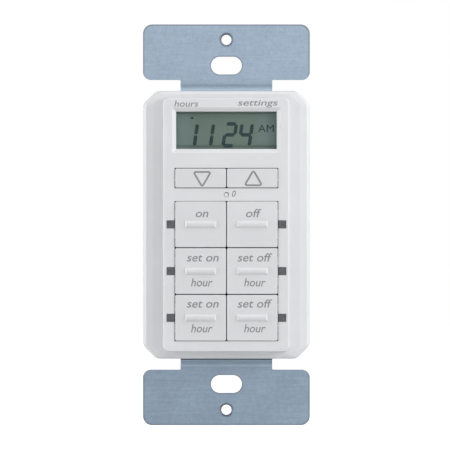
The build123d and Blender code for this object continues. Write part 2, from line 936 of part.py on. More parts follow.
def relay_blade():
    """The spring blade on the armature, with the moving contact."""
    back = armature_front + armature_t
    start = armature_end + blade_overlap
    end = contact_x - contact_r - contact_edge
    blade = block((start + end) / 2, relay_z, start - end, blade_w, back, blade_t)
    return blade + rod(contact_x, relay_z, contact_r, back - contact_t, contact_t)


def relay_fixed_contact():
    """The fixed contact on its post."""
    top = armature_front + armature_t - contact_t - contact_gap
    seat = top - contact_t
    post = block(contact_x, relay_z, contact_post_t, contact_post_w, relay_floor, seat - relay_floor)
    return post + rod(contact_x, relay_z, contact_r, seat, contact_t)


def film_place():
    """Centre of the film capacitor, below the relay."""
    x = film_w / 2 - parts_half_w
    return x, relay_z - (relay_len + film_len) / 2 - part_gap


def can_place():
    """Centre of the electrolytic capacitor, beside the film capacitor."""
    x, z = film_place()
    return x + film_w / 2 + part_gap + can_r, z


def film_capacitor():
    """The moulded block of the film capacitor."""
    x, z = film_place()
    body = block(x, z, film_w, film_len, power_back, film_h)
    return fillet(back_edges(body), film_edge_r)


def electrolytic_capacitor():
    """The standing can, with its crimp near the foot."""
    x, z = can_place()
    can = rod(x, z, can_r, power_back, can_h)
    ring = rod(x, z, can_r + overrun, power_back + can_foot, can_groove_h)
    ring -= rod(x, z, can_groove_r, power_back + can_foot, can_groove_h)
    return fillet(back_edges(can - ring), can_foot / 3)


def varistor():
    """The varistor disc beside the relay, standing on its two wires."""
    x = relay_x + relay_w / 2 + part_gap + disc_t / 2
    y = power_back + disc_stand + disc_r
    body = cross_rod(x, y, relay_z, disc_r, disc_t)
    for end in (-1, 1):
        body += rod(x, relay_z + end * disc_r / 2, wire_r, power_back, disc_stand + disc_r)
    return body


def axial_part(x, z, radius, length):
    """A part with a wire at each end, bent down to the board."""
    y = power_back + axial_stand + radius
    body = cross_rod(x, y, z, radius, length)
    for side in (-1, 1):
        end_x = x + side * (length / 2 + wire_reach)
        wire = cross_rod((end_x + x) / 2, y, z, wire_r, abs(end_x - x) + 2 * wire_r)
        body += wire + rod(end_x, z, wire_r, power_back, y - power_back)
    return body


def supply_resistor():
    """The dropper resistor, below the film capacitor."""
    x, z = film_place()
    return axial_part(x, z - film_len / 2 - part_gap - resistor_r, resistor_r, resistor_len)


def rectifier_diodes():
    """The rectifier diodes, in a column below the electrolytic capacitor."""
    x, z = can_place()
    top = z - can_r - part_gap - diode_r
    diodes = Part()
    for row in range(diode_count):
        diodes += axial_part(x, top - row * diode_pitch, diode_r, diode_len)
    return diodes


def lead_tabs():
    """The tabs on the power board that take the inner ends of the leads."""
    tabs = Part()
    for x in port_xs()[:tab_count]:
        tabs += block(x, port_z + port_r, tab_w, tab_t, power_back, tab_h)
    return tabs


def ground_tab():
    """The bent tab riveted to the strap for the ground lead."""
    z = ground_z()
    plate = block(0, z, ground_tab_w, 2 * rivet_head_r, seat_back, ground_tab_t)
    return plate - rod(0, z, rivet_r, seat_back, ground_tab_t)


def ground_rivet():
    """The rivet through the strap and the ground tab."""
    z = ground_z()
    back = seat_back + ground_tab_t
    rivet = rod(0, z, rivet_r, seat_front, back - seat_front)
    return rivet + fillet(back_edges(rod(0, z, rivet_head_r, back, rivet_head_h)), rivet_head_h / 2)


def key_nodes():
    """Each key and the plunger under it, by name."""
    nodes = {}
    for side, word in ((-1, "down"), (1, "up")):
        nodes["key_" + word] = key(side, arrows_z, arrow_key_h, False)
        nodes["plunger_" + word] = switch_plunger(side * key_x, arrows_z)
    for row, z in enumerate(row_zs):
        ending = "" if row == 0 else "_" + str(row)
        for side, word in ((-1, "on"), (1, "off")):
            nodes["key_" + word + ending] = key(side, z, key_h, True)
            nodes["plunger_" + word + ending] = switch_plunger(side * key_x, z)
    return nodes


def main():
    """Build every node and write it."""
    os.makedirs("parts", exist_ok=True)
    pieces = [
        strap, front_housing, display_window, lcd_front_glass, lcd_rear_glass, lcd_connectors, lcd_holder,
        light_pipes, indicator_lamps, switch_bodies, reset_plunger, logic_board, insulator_sheet,
        board_screws, logic_chip, crystal, cell_tray, backup_cell, cell_clip, connector_socket,
        connector_pins, power_board, power_board_screws, rear_housing, lead_bushings, housing_screws,
        relay_case, relay_base, relay_yoke, relay_core, relay_bobbin, relay_winding, relay_armature,
        relay_blade, relay_fixed_contact, film_capacitor, electrolytic_capacitor, varistor,
        supply_resistor, rectifier_diodes, lead_tabs, ground_tab, ground_rivet,
    ]
    nodes = {piece.__name__: piece() for piece in pieces}
    nodes.update(key_nodes())
    for name, shape in nodes.items():
        export_node(name, shape)


main()
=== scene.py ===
"""Timer light switch: the looks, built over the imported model, which is the fixed frame.

Lengths are metres. X runs to the right seen from the front, Z up, and the front faces -Y.
"""

import logging
import math
from dataclasses import dataclass
from enum import Enum
from typing import ClassVar

import bmesh
import bpy
from mathutils import Matrix, Vector


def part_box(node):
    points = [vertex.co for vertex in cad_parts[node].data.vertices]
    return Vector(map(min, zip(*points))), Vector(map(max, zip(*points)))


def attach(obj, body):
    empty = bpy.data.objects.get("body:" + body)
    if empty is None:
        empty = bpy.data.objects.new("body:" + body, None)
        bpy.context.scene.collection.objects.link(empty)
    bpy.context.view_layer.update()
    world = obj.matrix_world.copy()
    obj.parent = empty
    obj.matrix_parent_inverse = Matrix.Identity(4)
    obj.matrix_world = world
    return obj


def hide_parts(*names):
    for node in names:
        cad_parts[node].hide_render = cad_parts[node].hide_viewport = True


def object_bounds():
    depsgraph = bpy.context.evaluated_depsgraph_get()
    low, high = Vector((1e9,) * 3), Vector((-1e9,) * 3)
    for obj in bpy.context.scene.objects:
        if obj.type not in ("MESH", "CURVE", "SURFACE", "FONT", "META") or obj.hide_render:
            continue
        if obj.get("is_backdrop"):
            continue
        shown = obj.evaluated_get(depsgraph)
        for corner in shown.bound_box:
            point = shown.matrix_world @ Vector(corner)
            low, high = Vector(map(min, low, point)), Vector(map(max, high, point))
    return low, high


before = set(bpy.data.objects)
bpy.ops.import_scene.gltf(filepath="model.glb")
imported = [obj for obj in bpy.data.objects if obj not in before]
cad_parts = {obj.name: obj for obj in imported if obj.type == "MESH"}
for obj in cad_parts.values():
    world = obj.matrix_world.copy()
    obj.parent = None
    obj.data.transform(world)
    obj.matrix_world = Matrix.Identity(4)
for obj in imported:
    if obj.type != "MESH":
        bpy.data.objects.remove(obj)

LOG = logging.getLogger("timer_switch")
MM = 0.001
QUARTER = math.pi / 2
CLOUD_LOW, CLOUD_HIGH = 0.3, 0.7
CORNER_STEPS = 6
MERGE_GAP = 1e-7

Point = tuple[float, float]
Triple = tuple[float, float, float]
Linear = tuple[float, float, float, float]
Socket = bpy.types.NodeSocket
Material = bpy.types.Material
Mesh = bpy.types.Mesh
Piece = bpy.types.Object
Shell = bmesh.types.BMesh


class Rider(Enum):
    """The body that a piece rides on, for the bodies that new pieces use."""

    ROOT = "root"
    DOWN = "key_down"
    UP = "key_up"
    ON = "key_on"
    OFF = "key_off"
    ON_1 = "key_on_1"
    OFF_1 = "key_off_1"
    ON_2 = "key_on_2"
    OFF_2 = "key_off_2"


class Texture(Enum):
    """Texture nodes that a finish may draw its variation with."""

    CLOUDS = "ShaderNodeTexNoise"
    CELLS = "ShaderNodeTexVoronoi"


def tone(red: int, green: int, blue: int) -> Linear:
    """A colour as it shows on a screen, made linear.

    Args:
        red: Red, from 0 to 255.
        green: Green, from 0 to 255.
        blue: Blue, from 0 to 255.

    Returns:
        The linear colour with full opacity.
    """
    parts = []
    for value in (red, green, blue):
        share = value / 255
        parts.append(share / 12.92 if share <= 0.04045 else ((share + 0.055) / 1.055) ** 2.4)
    return (parts[0], parts[1], parts[2], 1.0)


class NodeSheet:
    """A node tree, with short ways to add and join its nodes."""

    def __init__(self, tree: bpy.types.NodeTree) -> None:
        """Work on a tree."""
        self.tree = tree

    def join(self, value: object, socket: Socket) -> None:
        """Set a socket, or join another socket or a node's first output to it.

        Args:
            value: A plain value, a socket or a node.
            socket: The socket that takes it.
        """
        if isinstance(value, bpy.types.Node):
            value = value.outputs[0]
        if isinstance(value, bpy.types.NodeSocket):
            self.tree.links.new(value, socket)
        else:
            socket.default_value = value

    def node(self, kind: str, *values: object, **named: object) -> bpy.types.Node:
        """A node with its sockets filled.

        Args:
            kind: The node's type.
            values: What its first sockets take, in order.
            named: What other sockets take, by name, with underscores for spaces.

        Returns:
            The node.
        """
        node = self.tree.nodes.new(kind)
        for value, socket in zip(values, node.inputs):
            self.join(value, socket)
        for name, value in named.items():
            self.join(value, node.inputs[name.replace("_", " ")])
        return node

    def maths(self, kind: str, *values: object) -> Socket:
        """A sum of one or two values or sockets.

        Args:
            kind: The kind of sum.
            values: What it is made of.

        Returns:
            The result.
        """
        node = self.tree.nodes.new("ShaderNodeMath")
        node.operation = kind
        for value, socket in zip(values, node.inputs):
            self.join(value, socket)
        return node.outputs[0]

    def spread(self, value: Socket, low: float, high: float, to_low: float, to_high: float) -> Socket:
        """A value mapped from one range to another, held at the ends."""
        return self.node("ShaderNodeMapRange", value, low, high, to_low, to_high).outputs[0]


class ShaderSheet(NodeSheet):
    """A material's tree, with the patterns and mixes that the finishes are made of."""

    def __init__(self, name: str, **plain: float) -> None:
        """Start a material with a Principled shader and an output.

        Args:
            name: The material's name.
            plain: Plain values of the shader, by socket, with underscores for spaces.
        """
        self.material = bpy.data.materials.new(name)
        self.material.use_nodes = True
        super().__init__(self.material.node_tree)
        self.tree.nodes.clear()
        self.shader = self.node("ShaderNodeBsdfPrincipled", **plain)
        self.node("ShaderNodeOutputMaterial", Surface=self.shader)
        self.place = self.node("ShaderNodeTexCoord").outputs["Object"]

    def stretched(self, scale: Triple, turn: float = 0.0) -> Socket:
        """Object coordinates, stretched along each axis and turned about the depth axis."""
        return self.node("ShaderNodeMapping", self.place, Scale=scale, Rotation=(0.0, turn, 0.0)).outputs[0]

    def pattern(
        self, size: float, detail: float = 2.0, place: Socket | None = None, texture: Texture = Texture.CLOUDS
    ) -> Socket:
        """A pattern between 0 and 1, of patches of about this size."""
        place = place or self.place
        return self.node(texture.value, Vector=place, Scale=1.0 / size, Detail=detail).outputs[0]

    def axis(self, name: str) -> Socket:
        """One component of the object coordinate, in metres."""
        return self.node("ShaderNodeSeparateXYZ", self.place).outputs[name]

    def reach(self, name: str) -> Socket:
        """How far a component of the object coordinate is from zero, whichever way."""
        return self.maths("ABSOLUTE", self.axis(name))

    def varied(self, clouds: Socket, ends: Point) -> Socket:
        """A value that follows a pattern from one end to the other."""
        return self.spread(clouds, CLOUD_LOW, CLOUD_HIGH, ends[0], ends[1])

    def band(self, value: Socket, low: float, high: float, soft: float, most: float) -> Socket:
        """A value held between two ends, falling to zero outside them.

        Args:
            value: The value that is read.
            low: Where the band starts.
            high: Where it ends.
            soft: The width of its edges.
            most: The band's height.

        Returns:
            The band.
        """
        rise = self.spread(value, low - soft, low, 0.0, most)
        fall = self.spread(value, high, high + soft, 1.0, 0.0)
        return self.maths("MULTIPLY", rise, fall)

    def slanting(self, one: Socket, other: Socket) -> Socket:
        """The slanting distance of two level ones."""
        squares = self.maths("ADD", self.maths("MULTIPLY", one, one), self.maths("MULTIPLY", other, other))
        return self.maths("POWER", squares, 0.5)

    def ramp(self, value: Socket, *stops: tuple[float, Linear]) -> Socket:
        """Colours along a value from 0 to 1.

        Args:
            value: The value.
            stops: Place and colour of each stop.

        Returns:
            The colour.
        """
        node = self.node("ShaderNodeValToRGB", value)
        bar = node.color_ramp.elements
        while len(bar) < len(stops):
            bar.new(0.5)
        for element, (place, colour) in zip(bar, stops):
            element.position = place
            element.color = colour
        return node.outputs[0]

    def mixed(self, share: Socket, first: Socket | Linear, second: Socket | Linear) -> Socket:
        """Two colours mixed by a share.

        Args:
            share: How much of the second colour.
            first: A colour or a colour's socket.
            second: A colour or a colour's socket.

        Returns:
            The colour.
        """
        node = self.node("ShaderNodeMix")
        node.data_type = "RGBA"
        for value, index in ((share, 0), (first, 6), (second, 7)):
            self.join(value, node.inputs[index])
        return node.outputs[2]

    def done(
        self,
        colour: Socket,
        rough: Socket,
        height: Socket | None = None,
        depth: float = 0.0,
        share: float = 1.0,
    ) -> Material:
        """Join what varies to the shader.

        Args:
            colour: The base colour.
            rough: The roughness.
            height: A bump's height between 0 and 1, or None for no bump.
            depth: What a height of 1 stands for, in metres.
            share: How much of the bump shows.

        Returns:
            The material.
        """
        self.join(colour, self.shader.inputs["Base Color"])
        self.join(rough, self.shader.inputs["Roughness"])
        if height is not None:
            bump = self.node("ShaderNodeBump", Strength=share, Distance=depth, Height=height)
            self.join(bump, self.shader.inputs["Normal"])
        return self.material


@dataclass(frozen=True)
class PlainFinish:
    """Clouds between two tones, under a finer grain that roughens and lifts the surface."""

    name: str
    light: Linear
    dark: Linear
    shine: float
    cloud: float
    grain: float
    relief: float
    cloud_detail: float = 3.0
    grain_detail: float = 2.0
    cloud_ends: Point = (CLOUD_LOW, CLOUD_HIGH)
    shine_change: Point = (0.0, 0.15)
    stretch: Triple = (1.0, 1.0, 1.0)
    metallic: float = 0.0

    def material(self) -> Material:
        """Make the material.

        Returns:
            The material.
        """
        sheet = ShaderSheet(self.name, Metallic=self.metallic)
        clouds = sheet.pattern(self.cloud, self.cloud_detail)
        colour = sheet.ramp(clouds, (self.cloud_ends[0], self.dark), (self.cloud_ends[1], self.light))
        grain = sheet.pattern(self.grain, self.grain_detail, sheet.stretched(self.stretch))
        low, high = self.shine_change
        rough = sheet.varied(grain, (self.shine + low, self.shine + high))
        return sheet.done(colour, rough, grain, self.relief)


@dataclass(frozen=True)
class MouldedPlastic(PlainFinish):
    """Moulded plastic: a faint flow mottle and a spark-eroded grain."""

    shine: float = 0.45
    cloud: float = 9 * MM
    grain: float = 0.16 * MM
    relief: float = 0.004 * MM
    grain_detail: float = 3.0
    shine_change: Point = (-0.08, 0.08)


@dataclass(frozen=True)
class DippedCoat(PlainFinish):
    """Dipped or cemented component coating: uneven tone and a pebbled skin."""

    shine: float = 0.3
    cloud: float = 4 * MM
    grain: float = 0.5 * MM
    relief: float = 0.02 * MM


@dataclass(frozen=True)
class TurnedMetal(PlainFinish):
    """Plated small hardware: a soft tarnish and fine turning marks."""

    shine: float = 0.32
    cloud: float = 2.5 * MM
    grain: float = 0.12 * MM
    relief: float = 0.003 * MM
    cloud_detail: float = 4.0
    cloud_ends: Point = (0.3, 0.65)
    shine_change: Point = (-0.06, 0.1)
    stretch: Triple = (0.2, 1.0, 1.0)
    metallic: float = 1.0


@dataclass(frozen=True)
class ZincPlate:
    """Rolled steel under bluish zinc: mottle, speckle and streaks, with painted highlights on the necks and
    painted shade towards the bottom, along the folds, under the housing and round the edges.
    """

    name: str
    light: Linear
    middle: Linear
    dark: Linear
    # The dark tone of the painted shade along the rims and the folds.
    edge: Linear
    # The tone of the painted highlights across the necks.
    highlight_tone: Linear
    # The tone of the painted shadow under the housing's lower edge.
    shade: Linear
    metallic: float = 0.55
    blotch: float = 7 * MM
    blotch_ends: Point = (0.44, 0.56)
    fleck: float = 1.3 * MM
    fleck_change: float = 0.06
    speckle: float = 0.45 * MM
    speckle_change: float = 0.09
    streak: float = 0.35 * MM
    streak_change: float = 0.05
    streak_stretch: Triple = (0.045, 1.0, 1.0)
    streak_turn: float = 0.05
    height_shade_ends: Point = (-0.2, 0.06)
    stops: Triple = (0.22, 0.5, 0.76)
    fold_z: float = 36.8 * MM
    fold_w: float = 0.35 * MM
    fold_shade_share: float = 0.15
    highlight_bands: tuple[Point, Point] = ((35.3 * MM, 35.9 * MM), (-36.6 * MM, -35.9 * MM))
    highlight_soft: float = 0.6 * MM
    highlight_share: float = 0.38
    seat: Point = (-35.27 * MM, -34.8 * MM)
    seat_shadow_soft: float = 0.1 * MM
    seat_shadow_share: float = 0.85
    half_w: float = 21.8 * MM
    half_h: float = 52.4 * MM
    corner_r: float = 2.6 * MM
    rim_shade_w: float = 0.5 * MM
    rim_shade_share: float = 0.75
    hole_shade_w: float = 0.4 * MM
    hole_shade_share: float = 0.6
    slot: Triple = (41.65 * MM, 1.75 * MM, 2.33 * MM)
    hole: Triple = (48.4 * MM, 0.0, 1.65 * MM)
    rough: Point = (0.52, 0.38)
    relief: float = 0.006 * MM
    relief_share: float = 0.7

    def material(self) -> Material:
        """Make the material.

        Returns:
            The material.
        """
        sheet = ShaderSheet(self.name, Metallic=self.metallic)
        flecks = sheet.pattern(self.fleck, 4.0)
        speckle = sheet.pattern(self.speckle)
        streaks = sheet.pattern(self.streak, 2.0, sheet.stretched(self.streak_stretch, self.streak_turn))
        height = sheet.axis("Z")
        mix = sheet.spread(sheet.pattern(self.blotch, 4.0), 0.2, 0.8, *self.blotch_ends)
        for value, low, high, change in (
            (speckle, 0.2, 0.8, self.speckle_change),
            (flecks, 0.25, 0.75, self.fleck_change),
            (streaks, 0.3, 0.7, self.streak_change),
        ):
            mix = sheet.maths("ADD", mix, sheet.spread(value, low, high, -change, change))
        # Painted shade: the plate grows darker towards the bottom.
        mix = sheet.maths("ADD", mix, sheet.spread(height, -self.half_h, self.half_h, *self.height_shade_ends))
        plate = sheet.ramp(mix, *zip(self.stops, (self.dark, self.middle, self.light)))
        # Painted highlight: a lighter tone laid in a band across each neck.
        for low, high in self.highlight_bands:
            highlight = sheet.band(height, low, high, self.highlight_soft, self.highlight_share)
            plate = sheet.mixed(highlight, plate, self.highlight_tone)
        # Painted shade: the dark edge tone in broken dashes along the bend lines of the necks.
        fold = sheet.band(sheet.reach("Z"), self.fold_z, self.fold_z + self.fold_w, self.fold_w, 1.0)
        fold_shade = sheet.maths("MULTIPLY", fold, sheet.spread(flecks, 0.42, 0.62, 0.0, self.fold_shade_share))
        plate = sheet.mixed(fold_shade, plate, self.edge)
        # Painted shadow: a dark band on the lower neck just under the housing's lower edge.
        seat = sheet.band(height, self.seat[0], self.seat[1], self.seat_shadow_soft, self.seat_shadow_share)
        plate = sheet.mixed(seat, plate, self.shade)
        # Painted shade: the dark edge tone laid along the rims of the ears, slots and holes.
        colour = sheet.mixed(self.rim_shade(sheet), plate, self.edge)
        skin = sheet.maths("ADD", speckle, streaks)
        return sheet.done(colour, sheet.varied(mix, self.rough), skin, self.relief, self.relief_share)

    def rim_shade(self, sheet: ShaderSheet) -> Socket:
        """How much painted shade shows along the edges: round the ears, the slots and the holes.

        Args:
            sheet: The material under way.

        Returns:
            The share.
        """
        across, up = sheet.reach("X"), sheet.reach("Z")
        beside = self.past(sheet, across, self.half_w - self.corner_r)
        corner = sheet.slanting(beside, self.past(sheet, up, self.half_h - self.corner_r))
        rim = sheet.spread(corner, self.corner_r - self.rim_shade_w, self.corner_r, 0.0, self.rim_shade_share)
        for place, half_run, radius in (self.slot, self.hole):
            near = sheet.slanting(self.past(sheet, across, half_run), sheet.maths("ADD", up, -place))
            edge = sheet.spread(near, radius, radius + self.hole_shade_w, self.hole_shade_share, 0.0)
            rim = sheet.maths("MAXIMUM", rim, edge)
        return rim

    def past(self, sheet: ShaderSheet, place: Socket, start: float) -> Socket:
        """How far a coordinate is past a start, or zero before it."""
        return sheet.spread(place, start, start + self.half_h, 0.0, self.half_h)


@dataclass(frozen=True)
class ClearWindow:
    """Clear acrylic: nearly unseen, with a faint tint, haze and gloss."""

    name: str
    tint: Linear
    haze: Linear
    see_through: float = 0.05
    gloss: float = 0.25
    cloud: float = 12 * MM
    cloud_ends: Point = (0.35, 0.65)
    smear: float = 3 * MM
    rough: Point = (0.03, 0.09)

    def material(self) -> Material:
        """Make the material.

        Returns:
            The material.
        """
        sheet = ShaderSheet(self.name, Alpha=self.see_through, Specular_IOR_Level=self.gloss)
        colour = sheet.ramp(sheet.pattern(self.cloud), *zip(self.cloud_ends, (self.tint, self.haze)))
        return sheet.done(colour, sheet.varied(sheet.pattern(self.smear), self.rough))


@dataclass(frozen=True)
class DisplayGlass:
    """The display cell: greener in the middle, bluer at its ends, with two dark lines across it and a fine
    grain.
    """

    name: str
    middle: Linear
    ends: Linear
    # The tone of both dark lines.
    seam: Linear
    half_w: float = 13.1 * MM
    gloss: float = 0.1
    dark_lines: tuple[Triple, Triple] = ((20.6 * MM, 0.28 * MM, 0.6), (29.1 * MM, 0.3 * MM, 0.55))
    cloud: float = 3.5 * MM
    cloud_change: float = 0.12
    bluer_from: float = 5.895 * MM
    stops: Point = (0.1, 0.8)
    grain: float = 0.09 * MM
    rough: Point = (0.26, 0.38)
    relief: float = 0.002 * MM

    def material(self) -> Material:
        """Make the material.

        Returns:
            The material.
        """
        sheet = ShaderSheet(self.name, Specular_IOR_Level=self.gloss)
        clouds = sheet.varied(sheet.pattern(self.cloud, 3.0), (-self.cloud_change, self.cloud_change))
        side = sheet.spread(sheet.reach("X"), self.bluer_from, self.half_w, 0.0, 1.0)
        glass = sheet.ramp(sheet.maths("ADD", side, clouds), *zip(self.stops, (self.middle, self.ends)))
        # The upper line is painted shadow of the window's top edge on the cell; the lower one is a darker
        # line near its foot.
        for place, half_h, most in self.dark_lines:
            glass = sheet.mixed(sheet.band(sheet.axis("Z"), place, place, half_h, most), glass, self.seam)
        grain = sheet.pattern(self.grain, 1.0)
        return sheet.done(glass, sheet.varied(grain, self.rough), grain, self.relief)


@dataclass(frozen=True)
class PrintInk:
    """Printed ink, display segments or another slightly uneven cover."""

    name: str
    full: Linear
    thin: Linear
    patch: float = 0.3 * MM
    shine: float = 0.5
    shine_change: Point = (0.1, -0.05)
    stops: Point = (0.35, 0.65)
    gloss: float = 0.1

    def material(self) -> Material:
        """Make the material.

        Returns:
            The material.
        """
        sheet = ShaderSheet(self.name, Specular_IOR_Level=self.gloss)
        cover = sheet.pattern(self.patch)
        colour = sheet.ramp(cover, *zip(self.stops, (self.thin, self.full)))
        dull, bright = self.shine_change
        return sheet.done(colour, sheet.varied(cover, (self.shine + dull, self.shine + bright)))


@dataclass(frozen=True)
class BoardLaminate:
    """Coated glass-fibre board: copper under the coat, with the weave showing faintly."""

    name: str
    coat: Linear
    copper: Linear
    track: float = 2.2 * MM
    track_edge: Point = (0.32, 0.36)
    weave: float = 0.5 * MM
    weave_stretch: Triple = (1.0, 1.0, 3.0)
    rough: Point = (0.25, 0.4)
    relief: float = 0.01 * MM

    def material(self) -> Material:
        """Make the material.

        Returns:
            The material.
        """
        sheet = ShaderSheet(self.name)
        cells = sheet.pattern(self.track, 0.0, None, Texture.CELLS)
        edge = sheet.spread(cells, *self.track_edge, 0.0, 1.0)
        weave = sheet.pattern(self.weave, 1.0, sheet.stretched(self.weave_stretch))
        colour = sheet.mixed(edge, self.coat, self.copper)
        rough = sheet.varied(weave, self.rough)
        return sheet.done(colour, rough, sheet.maths("ADD", edge, weave), self.relief)


@dataclass(frozen=True)
class CopperWinding:
    """Enamelled wire in close turns along the coil's axis."""

    name: str
    crest: Linear
    valley: Linear
    metallic: float = 0.6
    wire: float = 0.16 * MM
    wave_scale: float = 0.31
    waver: float = 0.4
    stops: Point = (0.15, 0.7)
    rough: Point = (0.5, 0.28)
    relief: float = 0.05 * MM

    def material(self) -> Material:
        """Make the material.

        Returns:
            The material.
        """
        sheet = ShaderSheet(self.name, Metallic=self.metallic)
        scale = self.wave_scale / self.wire
        wave = sheet.node("ShaderNodeTexWave", sheet.place, Scale=scale, Distortion=self.waver)
        wave.bands_direction = "Y"
        turns = wave.outputs["Fac"]
        colour = sheet.ramp(turns, *zip(self.stops, (self.valley, self.crest)))
        return sheet.done(colour, sheet.spread(turns, 0.0, 1.0, *self.rough), turns, self.relief)


@dataclass(frozen=True)
class SmokedPipe:
    """Smoked light pipe: dark, with slow clouds in it and a fine grain."""

    name: str
    light: Linear
    dark: Linear
    patch: float = 0.8 * MM
    grain: float = 0.15 * MM
    rough: Point = (0.3, 0.42)
    relief: float = 0.003 * MM

    def material(self) -> Material:
        """Make the material.

        Returns:
            The material.
        """
        sheet = ShaderSheet(self.name)
        clouds = sheet.pattern(self.patch, 3.0)
        colour = sheet.ramp(clouds, (CLOUD_LOW, self.dark), (CLOUD_HIGH, self.light))
        return sheet.done(colour, sheet.varied(clouds, self.rough), sheet.pattern(self.grain), self.relief)


@dataclass(frozen=True)
class SunkTip:
    """The reset plunger's plastic, with painted shade where its hole keeps the light off."""

    name: str
    light: Linear
    # The tone of the painted shade round the lit middle.
    dull: Linear
    lit_x: float = -0.14 * MM
    lit_z: float = 7.72 * MM
    lit_r: float = 0.48 * MM
    shade_r: float = 0.624 * MM
    grain: float = 0.16 * MM
    rough: Point = (0.38, 0.52)

    def material(self) -> Material:
        """Make the material.

        Returns:
            The material.
        """
        sheet = ShaderSheet(self.name)
        across = sheet.maths("ADD", sheet.axis("X"), -self.lit_x)
        near = sheet.slanting(across, sheet.maths("ADD", sheet.axis("Z"), -self.lit_z))
        # Painted shade: the tip turns to the darker tone outside the lit middle.
        edge = sheet.spread(near, self.lit_r, self.shade_r, 0.0, 1.0)
        rough = sheet.varied(sheet.pattern(self.grain, 3.0), self.rough)
        return sheet.done(sheet.mixed(edge, self.light, self.dull), rough)


Finish = (
    PlainFinish | ZincPlate | ClearWindow | DisplayGlass | PrintInk
    | BoardLaminate | CopperWinding | SmokedPipe | SunkTip
)


def all_finishes() -> list[Finish]:
    """The finishes of the whole switch, under the names of the record's slots.

    Returns:
        The finishes.
    """
    plate = {
        "light": tone(164, 181, 198),
        "middle": tone(146, 163, 180),
        "dark": tone(128, 144, 161),
        # edge is the dark tone of the painted shade along the rims and folds.
        "edge": tone(92, 100, 110),
        "highlight_tone": tone(214, 232, 246),
        "shade": tone(40, 42, 46),
    }
    rear = {"shine": 0.5, "cloud": 12 * MM, "grain": 0.22 * MM, "relief": 0.01 * MM}
    return [
        ZincPlate("zinc_steel", **plate),
        TurnedMetal("thread_steel", tone(112, 122, 134), tone(84, 94, 106), 0.5),
        MouldedPlastic("white_plastic", tone(213, 214, 216), tone(209, 210, 212)),
        MouldedPlastic("key_plastic", tone(210, 211, 213), tone(206, 207, 209)),
        SunkTip("tip_plastic", tone(228, 229, 231), tone(150, 151, 153)),
        ClearWindow("clear_plastic", tone(86, 96, 92), tone(96, 104, 100)),
        DisplayGlass("display_glass", tone(110, 128, 119), tone(121, 140, 136), tone(64, 78, 72)),
        PrintInk("elastomer", tone(92, 92, 95), tone(108, 108, 110), 1 * MM, 0.7),
        MouldedPlastic("inner_plastic", tone(214, 214, 214), tone(206, 206, 206)),
        SmokedPipe("smoked_plastic", tone(88, 89, 92), tone(71, 72, 75)),
        MouldedPlastic("lamp_body", tone(214, 92, 70), tone(190, 70, 52), 0.2),
        MouldedPlastic("black_plastic", tone(52, 52, 55), tone(42, 42, 45)),
        BoardLaminate("board_laminate", tone(26, 40, 34), tone(36, 54, 44)),
        PrintInk("insulating_paper", tone(168, 162, 148), tone(182, 176, 164), 1.2 * MM, 0.8),
        TurnedMetal("screw_steel", tone(190, 190, 188), tone(160, 161, 160)),
        TurnedMetal("bright_metal", tone(225, 225, 224), tone(200, 200, 199), 0.18),
        TurnedMetal("cell_steel", tone(214, 214, 213), tone(196, 196, 195), 0.24, 6 * MM),
        TurnedMetal("contact_metal", tone(220, 205, 164), tone(196, 178, 132), 0.3),
        MouldedPlastic("rear_plastic", tone(58, 59, 62), tone(49, 50, 53), **rear),
        PrintInk("legend_ink", tone(130, 130, 133), tone(142, 142, 145)),
        PrintInk("segment_ink", tone(42, 60, 63), tone(52, 70, 73), 0.8 * MM),
        MouldedPlastic("bushing_nylon", tone(230, 229, 222), tone(220, 219, 211), 0.38),
        MouldedPlastic("relay_plastic", tone(40, 40, 43), tone(33, 33, 36), 0.35),
        TurnedMetal("relay_iron", tone(184, 184, 184), tone(158, 158, 158), 0.35),
        CopperWinding("winding_copper", tone(212, 132, 84), tone(120, 58, 30)),
        DippedCoat("component_yellow", tone(228, 190, 62), tone(214, 172, 44)),
        TurnedMetal("can_aluminium", tone(216, 217, 219), tone(196, 197, 200), 0.3),
        DippedCoat("component_blue", tone(58, 92, 176), tone(44, 74, 152), 0.2),
        DippedCoat("component_tan", tone(216, 202, 170), tone(200, 184, 150), 0.6),
    ]


class FinishBook:
    """Every finish of the switch, each made once, by the name of its material slot."""

    def __init__(self, finishes: list[Finish]) -> None:
        """Make every material of a list of finishes."""
        self.made = {finish.name: finish.material() for finish in finishes}

    def get(self, slot: str) -> Material:
        """The material of one slot."""
        return self.made[slot]

    def dress(self, node: str, slot: str) -> None:
        """Give a node of the fixed frame its finish.

        Args:
            node: The node's name.
            slot: The finish's slot.
        """
        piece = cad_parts[node]
        if not piece.material_slots:
            piece.data.materials.append(self.made[slot])
        for place in piece.material_slots:
            place.material = self.made[slot]


